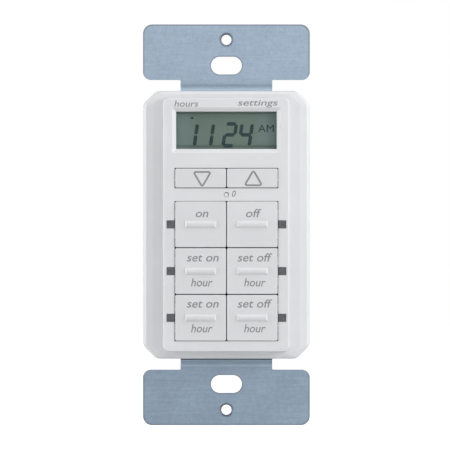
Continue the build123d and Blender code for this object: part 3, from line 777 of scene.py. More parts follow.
class GeometryTree(NodeSheet):
    """A Geometry Nodes tree with named inputs, ending in realized and dressed geometry."""

    def __init__(self, name: str) -> None:
        """Start a tree with a geometry input and output.

        Args:
            name: The tree's name.
        """
        super().__init__(bpy.data.node_groups.new(name, "GeometryNodeTree"))
        for way in ("INPUT", "OUTPUT"):
            self.tree.interface.new_socket(name="Geometry", in_out=way, socket_type="NodeSocketGeometry")
        self.start = self.node("NodeGroupInput")
        self.end = self.node("NodeGroupOutput")
        self.names: dict[str, str] = {}

    def input(self, name: str, kind: str = "Float") -> Socket:
        """A named input of the tree.

        Args:
            name: The input's name.
            kind: Its socket type without the NodeSocket prefix.

        Returns:
            The input's socket inside the tree.
        """
        item = self.tree.interface.new_socket(name=name, in_out="INPUT", socket_type="NodeSocket" + kind)
        self.names[name] = item.identifier
        return self.start.outputs[name]

    def attribute(self, name: str) -> Socket:
        """A named float attribute of the points."""
        return self.node("GeometryNodeInputNamedAttribute", name).outputs[0]

    def bar(self, path: bpy.types.Node, sides: int, radius: Socket, capped: bool) -> bpy.types.Node:
        """A bar along a path, with as many sides as asked."""
        section = self.node("GeometryNodeCurvePrimitiveCircle", Resolution=sides, Radius=radius)
        return self.node("GeometryNodeCurveToMesh", Curve=path, Profile_Curve=section, Fill_Caps=capped)

    def close(self, shape: object, **turned: object) -> None:
        """End the tree with the shape on every point, made real and in the tree's material.

        Args:
            shape: The shape's node or socket.
            turned: The copies' rotation and scale, where they have one.
        """
        copies = self.node("GeometryNodeInstanceOnPoints", Points=self.start, Instance=shape, **turned)
        real = self.node("GeometryNodeRealizeInstances", copies)
        material = self.input("Material", "Material")
        dressed = self.node("GeometryNodeSetMaterial", Geometry=real, Material=material)
        self.join(dressed, self.end.inputs["Geometry"])

    def grow(self, name: str, points: Piece, **values: object) -> Piece:
        """Run the tree on an object of points and keep the result as a plain mesh.

        Args:
            name: The new piece's name.
            points: The object that carries the points; it is removed.
            values: The tree's inputs by name.

        Returns:
            The new piece.
        """
        modifier = points.modifiers.new(name, "NODES")
        modifier.node_group = self.tree
        for key, value in values.items():
            modifier[self.names[key]] = value
        mesh = evaluated_mesh(name, points)
        return linked(name, mesh)


def evaluated_mesh(name: str, source: Piece) -> Mesh:
    """What an object comes to in the scene, as a plain mesh; the object is removed.

    Args:
        name: The mesh's name.
        source: The object.

    Returns:
        The mesh.
    """
    graph = bpy.context.evaluated_depsgraph_get()
    mesh = bpy.data.meshes.new_from_object(source.evaluated_get(graph))
    mesh.name = name
    bpy.data.objects.remove(source)
    return mesh


def linked(name: str, data: bpy.types.ID) -> Piece:
    """A new object of the scene, at the origin.

    Args:
        name: The object's name.
        data: Its mesh, text, lamp or camera.

    Returns:
        The object.
    """
    piece = bpy.data.objects.new(name, data)
    bpy.context.scene.collection.objects.link(piece)
    return piece


def point_cloud(points: list[Triple], **attributes: list[float]) -> Piece:
    """A mesh of loose points with float attributes.

    Args:
        points: The points.
        attributes: One value for each point, by attribute name.

    Returns:
        The object.
    """
    mesh = bpy.data.meshes.new("points")
    mesh.from_pydata(points, [], [])
    for key, values in attributes.items():
        mesh.attributes.new(key, "FLOAT", "POINT").data.foreach_set("value", values)
    return linked("points", mesh)


def mesh_of(shape: Shell) -> Mesh:
    """A mesh made from a bmesh, its faces flat and pointing outwards.

    Args:
        shape: The bmesh, which is freed.

    Returns:
        The mesh.
    """
    bmesh.ops.remove_doubles(shape, verts=shape.verts, dist=MERGE_GAP)
    bmesh.ops.recalc_face_normals(shape, faces=shape.faces)
    mesh = bpy.data.meshes.new("shape")
    shape.to_mesh(mesh)
    shape.free()
    return mesh


def loop(shape: Shell, outline: list[Point], y: float) -> list[bmesh.types.BMVert]:
    """The points of an outline on the front view, at one depth."""
    return [shape.verts.new((x, y, z)) for x, z in outline]


def bridge(shape: Shell, *loops: list[bmesh.types.BMVert]) -> None:
    """Add the faces between each loop of points and the next, which has as many.

    Args:
        shape: The bmesh that takes them.
        loops: The loops, in order.
    """
    for one, other in zip(loops, loops[1:]):
        for i in range(len(one)):
            shape.faces.new((one[i - 1], other[i - 1], other[i], one[i]))


def ring(outer: list[Point], inner: list[Point], front: float, back: float) -> Mesh:
    """A flat ring between two outlines of as many points.

    Args:
        outer: Outer outline.
        inner: Inner outline.
        front: Front face's y.
        back: Back face's y.

    Returns:
        The mesh.
    """
    shape = bmesh.new()
    corners = ((outer, front), (outer, back), (inner, back), (inner, front))
    loops = [loop(shape, outline, y) for outline, y in corners]
    bridge(shape, *loops, loops[0])
    return mesh_of(shape)


def rounded(corners: list[Point], radius: float) -> list[Point]:
    """A closed outline with its corners rounded.

    Args:
        corners: The sharp corners, in order.
        radius: The corners' radius.

    Returns:
        The rounded outline.
    """
    line = []
    for i, corner in enumerate(corners):
        here = Vector(corner)
        before = (Vector(corners[i - 1]) - here).normalized()
        after = (Vector(corners[(i + 1) % len(corners)]) - here).normalized()
        half = before.angle(after) / 2
        centre = here + (before + after).normalized() * radius / math.sin(half)
        start = here + before * radius / math.tan(half) - centre
        end = here + after * radius / math.tan(half) - centre
        for step in range(CORNER_STEPS + 1):
            line.append(tuple(centre + start.lerp(end, step / CORNER_STEPS).normalized() * radius))
    return line


def rounded_box(low: Point, high: Point, radius: float) -> list[Point]:
    """An upright box's outline with its corners rounded."""
    return rounded([low, (high[0], low[1]), high, (low[0], high[1])], radius)


@dataclass(frozen=True)
class Lettering:
    """A way of printing: the letters' size, lean and weight, and half the ink's thickness."""

    height: float
    slant: float
    weight: float
    half_t: float = 0.006 * MM
    steps: int = 4

    def mesh(self, words: str, foot: Triple, wide: float) -> Mesh:
        """Words as a thin solid on a surface that faces the front.

        Args:
            words: The words.
            foot: The middle of their foot, on the surface.
            wide: Their width.

        Returns:
            The mesh, in place.
        """
        curve = bpy.data.curves.new("words", "FONT")
        curve.body = words
        curve.size = self.height
        curve.shear = self.slant
        curve.offset = self.weight
        curve.resolution_u = self.steps
        curve.extrude = self.half_t
        mesh = evaluated_mesh("words", linked("words", curve))
        xs = [vertex.co.x for vertex in mesh.vertices]
        stretch = wide / (max(xs) - min(xs))
        place = Matrix.Translation((foot[0], foot[1] - self.half_t, foot[2]))
        upright = place @ Matrix.Rotation(QUARTER, 4, "X") @ Matrix.Diagonal((stretch, 1.0, 1.0, 1.0))
        mesh.transform(upright @ Matrix.Translation((-(max(xs) + min(xs)) / 2, 0.0, 0.0)))
        return mesh


def front_of(node: str) -> float:
    """The y of the front of a node of the fixed frame."""
    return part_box(node)[0].y


@dataclass(frozen=True)
class Lamp:
    """A soft square lamp: its name, power in watts, and where it stands."""

    name: str
    power: float
    place: Triple
    side: float = 0.25

    def hang(self) -> None:
        """Put up the lamp, facing the object."""
        data = bpy.data.lights.new(self.name, "AREA")
        data.energy = self.power
        data.size = self.side
        light = linked(self.name, data)
        light.location = self.place
        light.rotation_euler = (-Vector(self.place)).to_track_quat("-Z", "Y").to_euler()


@dataclass
class Studio:
    """Camera, lamps, floor and the white surround."""

    distance: float = 1.6
    frame_w: float = 117.8 * MM
    aim: Point = (-0.37 * MM, -0.05 * MM)
    sensor: float = 36.0
    view_end: float = 20.0
    surround: float = 0.465
    floor_half: float = 1.5
    floor_gap: float = 0.02 * MM
    floor_tone: Linear = (0.8, 0.8, 0.8, 1.0)
    shadow_tone: Linear = (0.3, 0.3, 0.3, 1.0)
    glow: float = 0.94
    lamps: tuple[Lamp, ...] = (
        Lamp("right_lamp", 1.42, (0.41, -0.23, 0.14)),
        Lamp("left_lamp", 1.6, (-0.5, -0.1, 0.05)),
        Lamp("top_lamp", 0.8, (0.08, -0.16, 0.5)),
    )

    def build(self) -> None:
        """Set up the whole studio."""
        self.camera()
        self.world()
        self.floor()
        for lamp in self.lamps:
            lamp.hang()
        bpy.context.scene.view_settings.view_transform = "Standard"

    def camera(self) -> None:
        """A level camera with a long lens, straight in front."""
        data = bpy.data.cameras.new("camera")
        data.sensor_width = self.sensor
        data.lens = self.sensor * self.distance / self.frame_w
        data.clip_end = self.view_end
        camera = linked("camera", data)
        camera.location = (self.aim[0], -self.distance, self.aim[1])
        camera.rotation_euler = (QUARTER, 0.0, 0.0)
        bpy.context.scene.camera = camera

    def seen(self, sheet: NodeSheet) -> Socket:
        """One where the camera, a reflection or a refraction sees a surface, else zero.

        Args:
            sheet: The tree under way.

        Returns:
            The value.
        """
        path = sheet.node("ShaderNodeLightPath")
        outer = sheet.maths("MAXIMUM", path.outputs["Is Camera Ray"], path.outputs["Is Glossy Ray"])
        return sheet.maths("MAXIMUM", outer, path.outputs["Is Transmission Ray"])

    def world(self) -> None:
        """A surround that is white to look at and lights the object softly."""
        world = bpy.data.worlds.new("surround")
        world.use_nodes = True
        sheet = NodeSheet(world.node_tree)
        light = world.node_tree.nodes["Background"]
        sheet.join((1.0, 1.0, 1.0, 1.0), light.inputs["Color"])
        sheet.join(sheet.spread(self.seen(sheet), 0.0, 1.0, self.surround, 1.0), light.inputs["Strength"])
        bpy.context.scene.world = world

    def floor(self) -> None:
        """A pale floor under the lower ear, white where no shadow falls."""
        place = Matrix.Translation((0.0, 0.0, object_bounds()[0].z - self.floor_gap))
        shape = bmesh.new()
        bmesh.ops.create_grid(shape, x_segments=1, y_segments=1, size=self.floor_half, matrix=place)
        mesh = bpy.data.meshes.new("floor")
        shape.to_mesh(mesh)
        shape.free()
        floor = linked("floor", mesh)
        mesh.materials.append(self.floor_white())
        floor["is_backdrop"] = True

    def floor_white(self) -> Material:
        """A plain surface that looks white where no shadow falls.

        Returns:
            The material.
        """
        material = bpy.data.materials.new("floor_white")
        material.use_nodes = True
        sheet = NodeSheet(material.node_tree)
        sheet.tree.nodes.clear()
        plain = sheet.node("ShaderNodeBsdfDiffuse", Color=self.floor_tone)
        shaded = sheet.node("ShaderNodeBsdfDiffuse", Color=self.shadow_tone)
        glow = sheet.node("ShaderNodeEmission", Strength=self.glow)
        both = sheet.node("ShaderNodeAddShader", shaded, glow)
        surface = sheet.node("ShaderNodeMixShader", self.seen(sheet), plain, both)
        sheet.node("ShaderNodeOutputMaterial", surface)
        return material


@dataclass
class SubAssembly:
    """A sub-assembly: its nodes, by the slot of their finish, and the pieces that it adds to them."""

    book: FinishBook
    coats: ClassVar[dict[str, str]] = {}

    def build(self) -> None:
        """Dress the nodes of the fixed frame, then add the other pieces."""
        for slot, nodes in self.coats.items():
            for node in nodes.split():
                self.book.dress(node, slot)
        self.add()

    def add(self) -> None:
        """Add nothing, unless a sub-assembly has pieces of its own."""

    def own(self, name: str, mesh: Mesh, slot: str, rider: Rider = Rider.ROOT) -> None:
        """Put a finished mesh in the scene, dress it and let it ride.

        Args:
            name: The piece's name.
            mesh: Its mesh, in place.
            slot: The slot of its finish.
            rider: The body it rides on.
        """
        mesh.name = name
        mesh.materials.clear()
        mesh.materials.append(self.book.get(slot))
        self.settle(linked(name, mesh), slot, rider)

    def settle(self, piece: Piece, slot: str, rider: Rider = Rider.ROOT) -> None:
        """Let a dressed piece ride on its body, and report it.

        Args:
            piece: The piece.
            slot: Not used.
            rider: The body it rides on.
        """
        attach(piece, rider.value)
        LOG.info("%s: %d faces, rides on %s", piece.name, len(piece.data.polygons), rider.value)


@dataclass
class Strap(SubAssembly):
    """The steel strap, its tapped holes' threads, and the grounding tab behind it."""

    coats: ClassVar[dict[str, str]] = {
        "zinc_steel": "strap",
        "contact_metal": "ground_tab",
        "screw_steel": "ground_rivet",
    }
    tap_z: float = 48.4 * MM
    bore_r: float = 1.45 * MM
    thread_in: float = 0.13 * MM
    thread_pitch: float = 0.5 * MM
    entry: float = 0.42 * MM
    end_gap: float = 0.04 * MM

    def add(self) -> None:
        """Cut the threads."""
        piece = self.thread_tree().grow(
            "tapped_threads",
            point_cloud([(0.0, -self.end_gap, side * self.tap_z) for side in (-1, 1)]),
            Radius=self.bore_r,
            Depth=self.thread_in,
            Pitch=self.thread_pitch,
            Length=-front_of("strap") - self.entry - 2 * self.end_gap,
            Material=self.book.get("thread_steel"),
        )
        self.settle(piece, "zinc_steel")

    def thread_tree(self) -> GeometryTree:
        """A helical ridge in each tapped hole, as a three-sided bar wound round the bore.

        Returns:
            The tree.
        """
        tree = GeometryTree("tapped_thread")
        radius, depth = tree.input("Radius"), tree.input("Depth")
        pitch, length = tree.input("Pitch"), tree.input("Length")
        spiral = tree.node(
            "GeometryNodeCurveSpiral",
            Resolution=28,
            Rotations=tree.maths("DIVIDE", length, pitch),
            Start_Radius=radius,
            End_Radius=radius,
            Height=length,
        )
        tree.close(tree.bar(spiral, 3, depth, True), Rotation=(QUARTER, 0.0, 0.0))
        return tree


@dataclass
class FrontHousing(SubAssembly):
    """The white front housing, its light pipes, and the words over the display."""

    coats: ClassVar[dict[str, str]] = {
        "white_plastic": "front_housing",
        "smoked_plastic": "light_pipes",
        "lamp_body": "indicator_lamps",
    }
    print: Lettering = Lettering(2.3 * MM, 0.2, 0.02 * MM)
    legends: tuple[tuple[str, str, float, float, float], ...] = (
        ("left", "hours", -10.45 * MM, 30.78 * MM, 6.3 * MM),
        ("right", "settings", 8.15 * MM, 31.05 * MM, 10.4 * MM),
        ("zero", "0", 1.95 * MM, 7.3 * MM, 1.0 * MM),
    )

    def add(self) -> None:
        """Print the words."""
        face = front_of("light_pipes")
        for place, words, x, z, wide in self.legends:
            mesh = self.print.mesh(words, (x, face, z), wide)
            self.own("legend_on_face_" + place, mesh, "legend_ink")


class Bar(Enum):
    """A digit's bars: place across and up, in halves of the digit, and whether each lies flat."""

    TOP = (0, 2, True)
    MIDDLE = (0, 0, True)
    BOTTOM = (0, -2, True)
    UPPER_LEFT = (-1, 1, False)
    UPPER_RIGHT = (1, 1, False)
    LOWER_LEFT = (-1, -1, False)
    LOWER_RIGHT = (1, -1, False)


@dataclass
class DisplayCell(SubAssembly):
    """The liquid crystal display, with the lit segments over its front glass."""

    coats: ClassVar[dict[str, str]] = {
        "clear_plastic": "display_window",
        "display_glass": "lcd_front_glass lcd_rear_glass",
        "elastomer": "lcd_connectors",
        "inner_plastic": "lcd_holder",
    }
    lit: ClassVar[dict[str, tuple[Bar, ...]]] = {
        "1": (Bar.UPPER_RIGHT, Bar.LOWER_RIGHT),
        "2": (Bar.TOP, Bar.UPPER_RIGHT, Bar.MIDDLE, Bar.LOWER_LEFT, Bar.BOTTOM),
        "4": (Bar.UPPER_LEFT, Bar.UPPER_RIGHT, Bar.MIDDLE, Bar.LOWER_RIGHT),
    }
    segment_t: float = 0.03 * MM
    middle_z: float = 23.45 * MM
    half_step: float = 1.42 * MM
    half_w: float = 1.34 * MM
    stroke: float = 0.92 * MM
    bar_gap: float = 0.06 * MM
    bar_tip: float = 0.12
    lean: float = 0.145
    centres: tuple[float, ...] = (-9.29 * MM, -5.09 * MM, 0.86 * MM, 5.01 * MM)
    digits: str = "1124"
    print: Lettering = Lettering(2.75 * MM, 0.0, 0.0)
    word: tuple[str, float, float, float] = ("AM", 10.32 * MM, 24.2 * MM, 4.1 * MM)
    mark: Point = (-8.95 * MM, 27.85 * MM)
    mark_r: float = 0.5 * MM

    def add(self) -> None:
        """Lay the segments, the word and the pointer on the glass."""
        glass = front_of("lcd_front_glass")
        self.settle(self.segments(glass), "segment_ink")
        words, x, z, wide = self.word
        self.own("display_word", self.print.mesh(words, (x, glass, z), wide), "segment_ink")
        self.own("display_mark", self.mark_mesh(glass), "segment_ink")

    def mark_mesh(self, glass: float) -> Mesh:
        """The small pointer that shows which setting the display is on.

        Args:
            glass: The front glass's front y.

        Returns:
            The mesh.
        """
        x, z = self.mark
        foot = z - self.mark_r / 2
        corners = [(x - self.mark_r, foot), (x + self.mark_r, foot), (x, z + self.mark_r)]
        outline = rounded(corners, self.mark_r / 4)
        shape = bmesh.new()
        near, far = loop(shape, outline, glass - self.segment_t), loop(shape, outline, glass)
        bridge(shape, near, far)
        shape.faces.new(near)
        shape.faces.new(far)
        return mesh_of(shape)

    def segments(self, glass: float) -> Piece:
        """The lit bars of the four digits, by a tree that puts a pointed bar on each place.

        Args:
            glass: The front glass's front y.

        Returns:
            The piece.
        """
        points, turns, lengths = [], [], []
        for centre, digit in zip(self.centres, self.digits):
            for bar in self.lit[digit]:
                across, up, flat = bar.value
                points.append((centre + across * self.half_w, glass, self.middle_z + up * self.half_step))
                turns.append(0.0 if flat else QUARTER)
                lengths.append(2 * (self.half_w if flat else self.half_step) - self.bar_gap)
        cloud = point_cloud(points, turn=turns, length=lengths)
        piece = self.segment_tree().grow(
            "display_segments",
            cloud,
            Stroke=self.stroke,
            Thickness=self.segment_t,
            Tip=self.bar_tip,
            Material=self.book.get("segment_ink"),
        )
        for vertex in piece.data.vertices:
            vertex.co.x += (vertex.co.z - self.middle_z) * self.lean
        return piece

    def segment_tree(self) -> GeometryTree:
        """A flat bar with pointed ends on each point, turned and as long as the point says.

        Returns:
            The tree.
        """
        tree = GeometryTree("display_bar")
        stroke, thickness, tip = tree.input("Stroke"), tree.input("Thickness"), tree.input("Tip")
        six = tree.node("GeometryNodeCurvePrimitiveCircle", Resolution=6, Radius=1.0)
        filled = tree.node("GeometryNodeFillCurve", six)
        place = tree.node("ShaderNodeSeparateXYZ", tree.node("GeometryNodeInputPosition")).outputs
        reach = tree.maths("ABSOLUTE", place["X"])
        beyond = tree.maths("MULTIPLY", tree.maths("SUBTRACT", reach, 0.5), 2.0)
        share = tree.maths("ADD", tree.maths("SUBTRACT", 0.5, tip), tree.maths("MULTIPLY", beyond, tip))
        along = tree.maths("MULTIPLY", tree.maths("SIGN", place["X"]), share)
        across = tree.maths("MULTIPLY", place["Y"], 1 / math.sqrt(3))
        moved = tree.node("ShaderNodeCombineXYZ", along, across, 0.0)
        shaped = tree.node("GeometryNodeSetPosition", Geometry=filled, Position=moved)
        plate = tree.node("GeometryNodeExtrudeMesh", Mesh=shaped, Offset_Scale=1.0)
        closed = tree.node("GeometryNodeJoinGeometry")
        for side in (plate, tree.node("GeometryNodeFlipFaces", shaped)):
            tree.join(side, closed.inputs["Geometry"])
        merged = tree.node("GeometryNodeMergeByDistance", closed)
        scale = tree.node("ShaderNodeCombineXYZ", tree.attribute("length"), stroke, thickness)
        turn = tree.node("ShaderNodeCombineXYZ", QUARTER, tree.attribute("turn"), 0.0)
        tree.close(merged, Rotation=turn, Scale=scale)
        return tree


@dataclass
class Keypad(SubAssembly):
    """The eight keys, their switches, their printed words and the two arrow outlines."""

    coats: ClassVar[dict[str, str]] = {
        "key_plastic": "key_down key_up key_on key_off key_on_1 key_off_1 key_on_2 key_off_2",
        "black_plastic": "plunger_down plunger_up plunger_on plunger_off plunger_on_1 plunger_off_1 "
        "plunger_on_2 plunger_off_2 switch_bodies",
        "tip_plastic": "reset_plunger",
    }
    arrows: tuple[tuple[Rider, float, float, int], ...] = (
        (Rider.DOWN, -6.32 * MM, 11.95 * MM, -1),
        (Rider.UP, 7.01 * MM, 12.1 * MM, 1),
    )
    arrow_w: float = 4.9 * MM
    arrow_h: float = 4.05 * MM
    arrow_r: float = 0.55 * MM
    arrow_stroke: float = 0.45 * MM
    tip_out: float = 0.495 * MM
    foot_out: float = 0.198 * MM
    print_t: float = 0.012 * MM
    print: Lettering = Lettering(3.05 * MM, 0.2, 0.024 * MM)
    words: tuple[tuple[Rider, str, str, float, float, float], ...] = (
        (Rider.ON, "over", "on", -6.35 * MM, 2.0 * MM, 3.3 * MM),
        (Rider.OFF, "over", "off", 7.1 * MM, 2.0 * MM, 4.0 * MM),
        (Rider.ON_1, "over", "set on", -6.15 * MM, -9.52 * MM, 8.3 * MM),
        (Rider.OFF_1, "over", "set off", 7.4 * MM, -9.52 * MM, 9.0 * MM),
        (Rider.ON_2, "over", "set on", -6.15 * MM, -21.53 * MM, 8.3 * MM),
        (Rider.OFF_2, "over", "set off", 7.4 * MM, -21.53 * MM, 9.0 * MM),
        (Rider.ON_1, "under", "hour", -6.4 * MM, -16.0 * MM, 5.6 * MM),
        (Rider.OFF_1, "under", "hour", 7.4 * MM, -16.0 * MM, 5.6 * MM),
        (Rider.ON_2, "under", "hour", -6.4 * MM, -27.97 * MM, 5.6 * MM),
        (Rider.OFF_2, "under", "hour", 7.4 * MM, -27.97 * MM, 5.6 * MM),
    )

    def add(self) -> None:
        """Print on the keys."""
        face = front_of("key_down")
        for rider, x, z, up in self.arrows:
            self.own("arrow_" + rider.value, self.arrow_mesh(x, z, up, face), "legend_ink", rider)
        for rider, where, words, x, z, wide in self.words:
            mesh = self.print.mesh(words, (x, face, z), wide)
            self.own("legend_" + rider.value + "_" + where, mesh, "legend_ink", rider)

    def arrow_mesh(self, x: float, z: float, up: int, face: float) -> Mesh:
        """The outline of a rounded triangle.

        Args:
            x: Its middle's x.
            z: Its middle's z.
            up: 1 if it points up, -1 if down.
            face: The keys' front y.

        Returns:
            The mesh.
        """
        foot = z - up * self.arrow_h / 2
        half_w = self.arrow_w / 2 + self.foot_out
        corners = [(x - half_w, foot), (x + half_w, foot), (x, z + up * (self.arrow_h / 2 + self.tip_out))]
        middle = Vector((x, sum(height for _, height in corners) / 3))
        share = 1 - self.arrow_stroke / abs(middle.y - foot)
        inner = rounded([tuple(middle.lerp(Vector(corner), share)) for corner in corners], self.arrow_r / 4)
        return ring(rounded(corners, self.arrow_r), inner, face - self.print_t, face)


@dataclass
class LogicBoard(SubAssembly):
    """The logic board, what stands on it, and the sheet behind it."""

    coats: ClassVar[dict[str, str]] = {
        "board_laminate": "logic_board",
        "insulating_paper": "insulator_sheet",
        "screw_steel": "board_screws",
        "black_plastic": "logic_chip cell_tray connector_socket",
        "bright_metal": "crystal",
        "cell_steel": "backup_cell",
        "contact_metal": "cell_clip connector_pins",
    }


@dataclass
class PowerBoard(SubAssembly):
    """The power board with its relay and supply parts."""

    coats: ClassVar[dict[str, str]] = {
        "board_laminate": "power_board",
        "screw_steel": "power_board_screws",
        "relay_plastic": "relay_case relay_base rectifier_diodes",
        "relay_iron": "relay_yoke relay_core relay_armature",
        "inner_plastic": "relay_bobbin",
        "winding_copper": "relay_winding",
        "contact_metal": "relay_blade relay_fixed_contact lead_tabs",
        "component_yellow": "film_capacitor",
        "can_aluminium": "electrolytic_capacitor",
        "component_blue": "varistor",
        "component_tan": "supply_resistor",
    }


@dataclass
class LongScrew:
    """One housing screw from its tip at the origin back along Y, with a cross recess and a thread."""

    length: float
    head_r: float = 2.3 * MM
    head_h: float = 1.6 * MM
    head_edge: float = 0.12 * MM
    seat_r: float = 2.208 * MM
    rim_y: float = 0.72 * MM
    brow_r: float = 2.185 * MM
    brow_y: float = 1.152 * MM
    crown_r: float = 1.75 * MM
    shank_r: float = 1.22 * MM
    blunt_r: float = 0.671 * MM
    blunt_y: float = 0.12 * MM
    taper_y: float = 0.7 * MM
    thread_r: float = 1.4 * MM
    thread_pitch: float = 1.1 * MM
    thread_len: float = 4.0 * MM
    thread_start: float = 0.9 * MM
    thread_sunk: float = 0.05 * MM
    thread_half: float = 0.2 * MM
    cross_len: float = 1.32 * MM
    cross_w: float = 0.34 * MM
    cross_depth: float = 1.0 * MM
    cross_draft: float = 0.6
    round_steps: int = 36

    def mesh(self) -> Mesh:
        """Turn the screw's profile, cut its cross and wind its thread.

        Returns:
            The mesh.
        """
        shape = bmesh.new()
        seat = self.length - self.head_h
        profile = [
            (self.blunt_r, self.blunt_y),
            (self.shank_r, self.taper_y),
            (self.shank_r, seat),
            (self.seat_r, seat),
            (self.head_r, seat + self.head_edge),
            (self.head_r, seat + self.rim_y),
            (self.brow_r, seat + self.brow_y),
            (self.crown_r, self.length),
        ]
        rings = [[self.corner(shape, radius, y, i) for i in range(self.round_steps)] for radius, y in profile]
        tip = shape.verts.new((0.0, 0.0, 0.0))
        for i in range(self.round_steps):
            shape.faces.new((tip, rings[0][i], rings[0][i - 1]))
        bridge(shape, *rings)
        self.cut_cross(shape, rings[-1])
        self.wind_thread(shape)
        return mesh_of(shape)

    def corner(self, shape: Shell, radius: float, y: float, step: int) -> bmesh.types.BMVert:
        """A point of the screw, so many steps round its axis."""
        angle = 2 * math.pi * step / self.round_steps
        return shape.verts.new((radius * math.cos(angle), y, radius * math.sin(angle)))

    def cut_cross(self, shape: Shell, rim: list[bmesh.types.BMVert]) -> None:
        """Close the head's top round a tapered cross.

        Args:
            shape: The screw's bmesh.
            rim: The rim of the head's top.
        """
        a, b = self.cross_len, self.cross_w
        outline = [(a, -b), (a, b), (b, b), (b, a), (-b, a), (-b, b)]
        outline += [(-x, -z) for x, z in outline]
        upper = loop(shape, outline, self.length)
        drafted = [(x * self.cross_draft, z * self.cross_draft) for x, z in outline]
        lower = loop(shape, drafted, self.length - self.cross_depth)
        count = len(upper)
        edges = [shape.edges.new((upper[i], upper[(i + 1) % count])) for i in range(count)]
        edges += [shape.edges.get((rim[i], rim[(i + 1) % len(rim)])) for i in range(len(rim))]
        bmesh.ops.triangle_fill(shape, edges=edges, use_beauty=True)
        bridge(shape, upper, lower)
        shape.faces.new(lower)

    def wind_thread(self, shape: Shell) -> None:
        """Wind a three-sided thread round the shank's end.

        Args:
            shape: The screw's bmesh.
        """
        root = self.shank_r - self.thread_sunk
        section = ((root, -self.thread_half), (self.thread_r, 0.0), (root, self.thread_half))
        rows = []
        for step in range(int(self.thread_len / self.thread_pitch * self.round_steps) + 1):
            y = self.thread_start + self.thread_pitch * step / self.round_steps
            rows.append([self.corner(shape, radius, y + lift, step) for radius, lift in section])
        bridge(shape, *rows)
        shape.faces.new(rows[0])
        shape.faces.new(rows[-1])


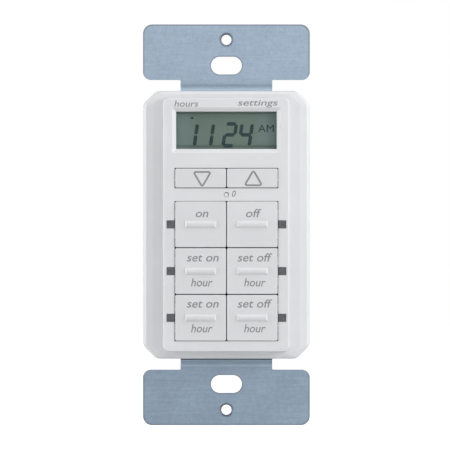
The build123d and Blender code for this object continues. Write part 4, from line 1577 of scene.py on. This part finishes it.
@dataclass
class RearHousing(SubAssembly):
    """The deep rear housing: its bushings, long screws, parting seam, ejector marks and strip gauge."""

    coats: ClassVar[dict[str, str]] = {"rear_plastic": "rear_housing", "bushing_nylon": "lead_bushings"}
    screw_x: float = 17.0 * MM
    screw_z: float = 29.8 * MM
    screw_turns: tuple[float, ...] = (0.3, 1.1, -0.5, 0.7)
    seam_out: float = 0.05 * MM
    seam_t: float = 0.16 * MM
    seam_depth: float = 13.0 * MM
    corner_r: float = 2.2 * MM
    mark_x: float = 15.5 * MM
    mark_zs: Point = (20.0 * MM, -9.0 * MM)
    mark_r: float = 1.9 * MM
    mark_w: float = 0.14 * MM
    relief: float = 0.18 * MM
    gauge_z: float = -30.2 * MM
    gauge_w: float = 12.0 * MM
    gauge_h: float = 2.6 * MM
    gauge_rim: float = 0.3 * MM
    gauge_r: float = 0.5 * MM
    tick_step: float = 1.0 * MM
    tick_w: float = 0.21 * MM
    tick_h: float = 1.17 * MM
    tick_drop: float = 0.52 * MM

    def add(self) -> None:
        """Drive the screws and add the moulded marks."""
        self.drive_screws()
        self.own("parting_seam", self.seam_mesh(), "rear_plastic")
        self.own("strip_gauge", self.gauge_mesh(), "rear_plastic")
        plastic, back = self.book.get("rear_plastic"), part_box("rear_housing")[1].y
        size = (self.tick_w, 2 * self.relief, self.tick_h)
        ticks = self.tick_tree().grow("gauge_ticks", self.tick_points(back), Size=size, Material=plastic)
        self.settle(ticks, "rear_plastic")
        marks = point_cloud([(side * self.mark_x, back, z) for z in self.mark_zs for side in (-1, 1)])
        sizes = {"Radius": self.mark_r, "Width": self.mark_w, "Material": plastic}
        self.settle(self.mark_tree().grow("ejector_marks", marks, **sizes), "rear_plastic")

    def drive_screws(self) -> None:
        """Put a detailed screw in each of the four places, in the stead of the plain ones."""
        low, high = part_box("housing_screws")
        model = linked("screw_model", LongScrew(high.y - low.y).mesh())
        points = [(x * self.screw_x, low.y, z * self.screw_z) for x in (-1, 1) for z in (-1, 1)]
        cloud = point_cloud(points, turn=self.screw_turns)
        tree = GeometryTree("screw_places")
        source = tree.node("GeometryNodeObjectInfo", tree.input("Screw", "Object")).outputs["Geometry"]
        tree.close(source, Rotation=tree.node("ShaderNodeCombineXYZ", 0.0, tree.attribute("turn"), 0.0))
        piece = tree.grow("long_screws", cloud, Screw=model, Material=self.book.get("screw_steel"))
        bpy.data.objects.remove(model)
        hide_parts("housing_screws")
        self.settle(piece, "screw_steel")

    def seam_mesh(self) -> Mesh:
        """The fine line that the mould leaves round the sides.

        Returns:
            The mesh.
        """
        low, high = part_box("rear_housing")
        lines = []
        for out in (self.seam_out, -self.seam_out):
            corners = (low.x - out, low.z - out), (high.x + out, high.z + out)
            lines.append(rounded_box(*corners, self.corner_r + out))
        front = high.y - self.seam_depth
        return ring(lines[0], lines[1], front, front + self.seam_t)

    def gauge_mesh(self) -> Mesh:
        """The raised rim of the strip gauge.

        Returns:
            The mesh.
        """
        lines = []
        for inset in (0.0, self.gauge_rim):
            x, z = self.gauge_w / 2 - inset, self.gauge_h / 2 - inset
            lines.append(rounded_box((-x, self.gauge_z - z), (x, self.gauge_z + z), self.gauge_r - inset / 2))
        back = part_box("rear_housing")[1].y
        return ring(lines[0], lines[1], back - self.relief, back + self.relief)

    def tick_points(self, back: float) -> Piece:
        """The places of the gauge's ticks.

        Args:
            back: The housing's back y.

        Returns:
            The object that carries them.
        """
        count = int(self.gauge_w / self.tick_step) - 1
        height = self.gauge_z - self.tick_drop
        return point_cloud([((i - (count - 1) / 2) * self.tick_step, back, height) for i in range(count)])

    def tick_tree(self) -> GeometryTree:
        """A small block on each point.

        Returns:
            The tree.
        """
        tree = GeometryTree("gauge_tick")
        tree.close(tree.node("GeometryNodeMeshCube", tree.input("Size", "Vector")))
        return tree

    def mark_tree(self) -> GeometryTree:
        """A fine round bead on each point, lying in the housing's back.

        Returns:
            The tree.
        """
        tree = GeometryTree("ejector_mark")
        line = tree.node("GeometryNodeCurvePrimitiveCircle", Resolution=40, Radius=tree.input("Radius"))
        tree.close(tree.bar(line, 6, tree.input("Width"), False), Rotation=(QUARTER, 0.0, 0.0))
        return tree


def main() -> None:
    """Build the studio, then the switch from the front to the back."""
    logging.basicConfig(level=logging.INFO, format="%(name)s: %(message)s")
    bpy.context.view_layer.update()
    Studio().build()
    book = FinishBook(all_finishes())
    for kind in (Strap, FrontHousing, DisplayCell, Keypad, LogicBoard, PowerBoard, RearHousing):
        LOG.info("building the %s", kind.__name__)
        kind(book).build()


if __name__ == "__main__":
    main()
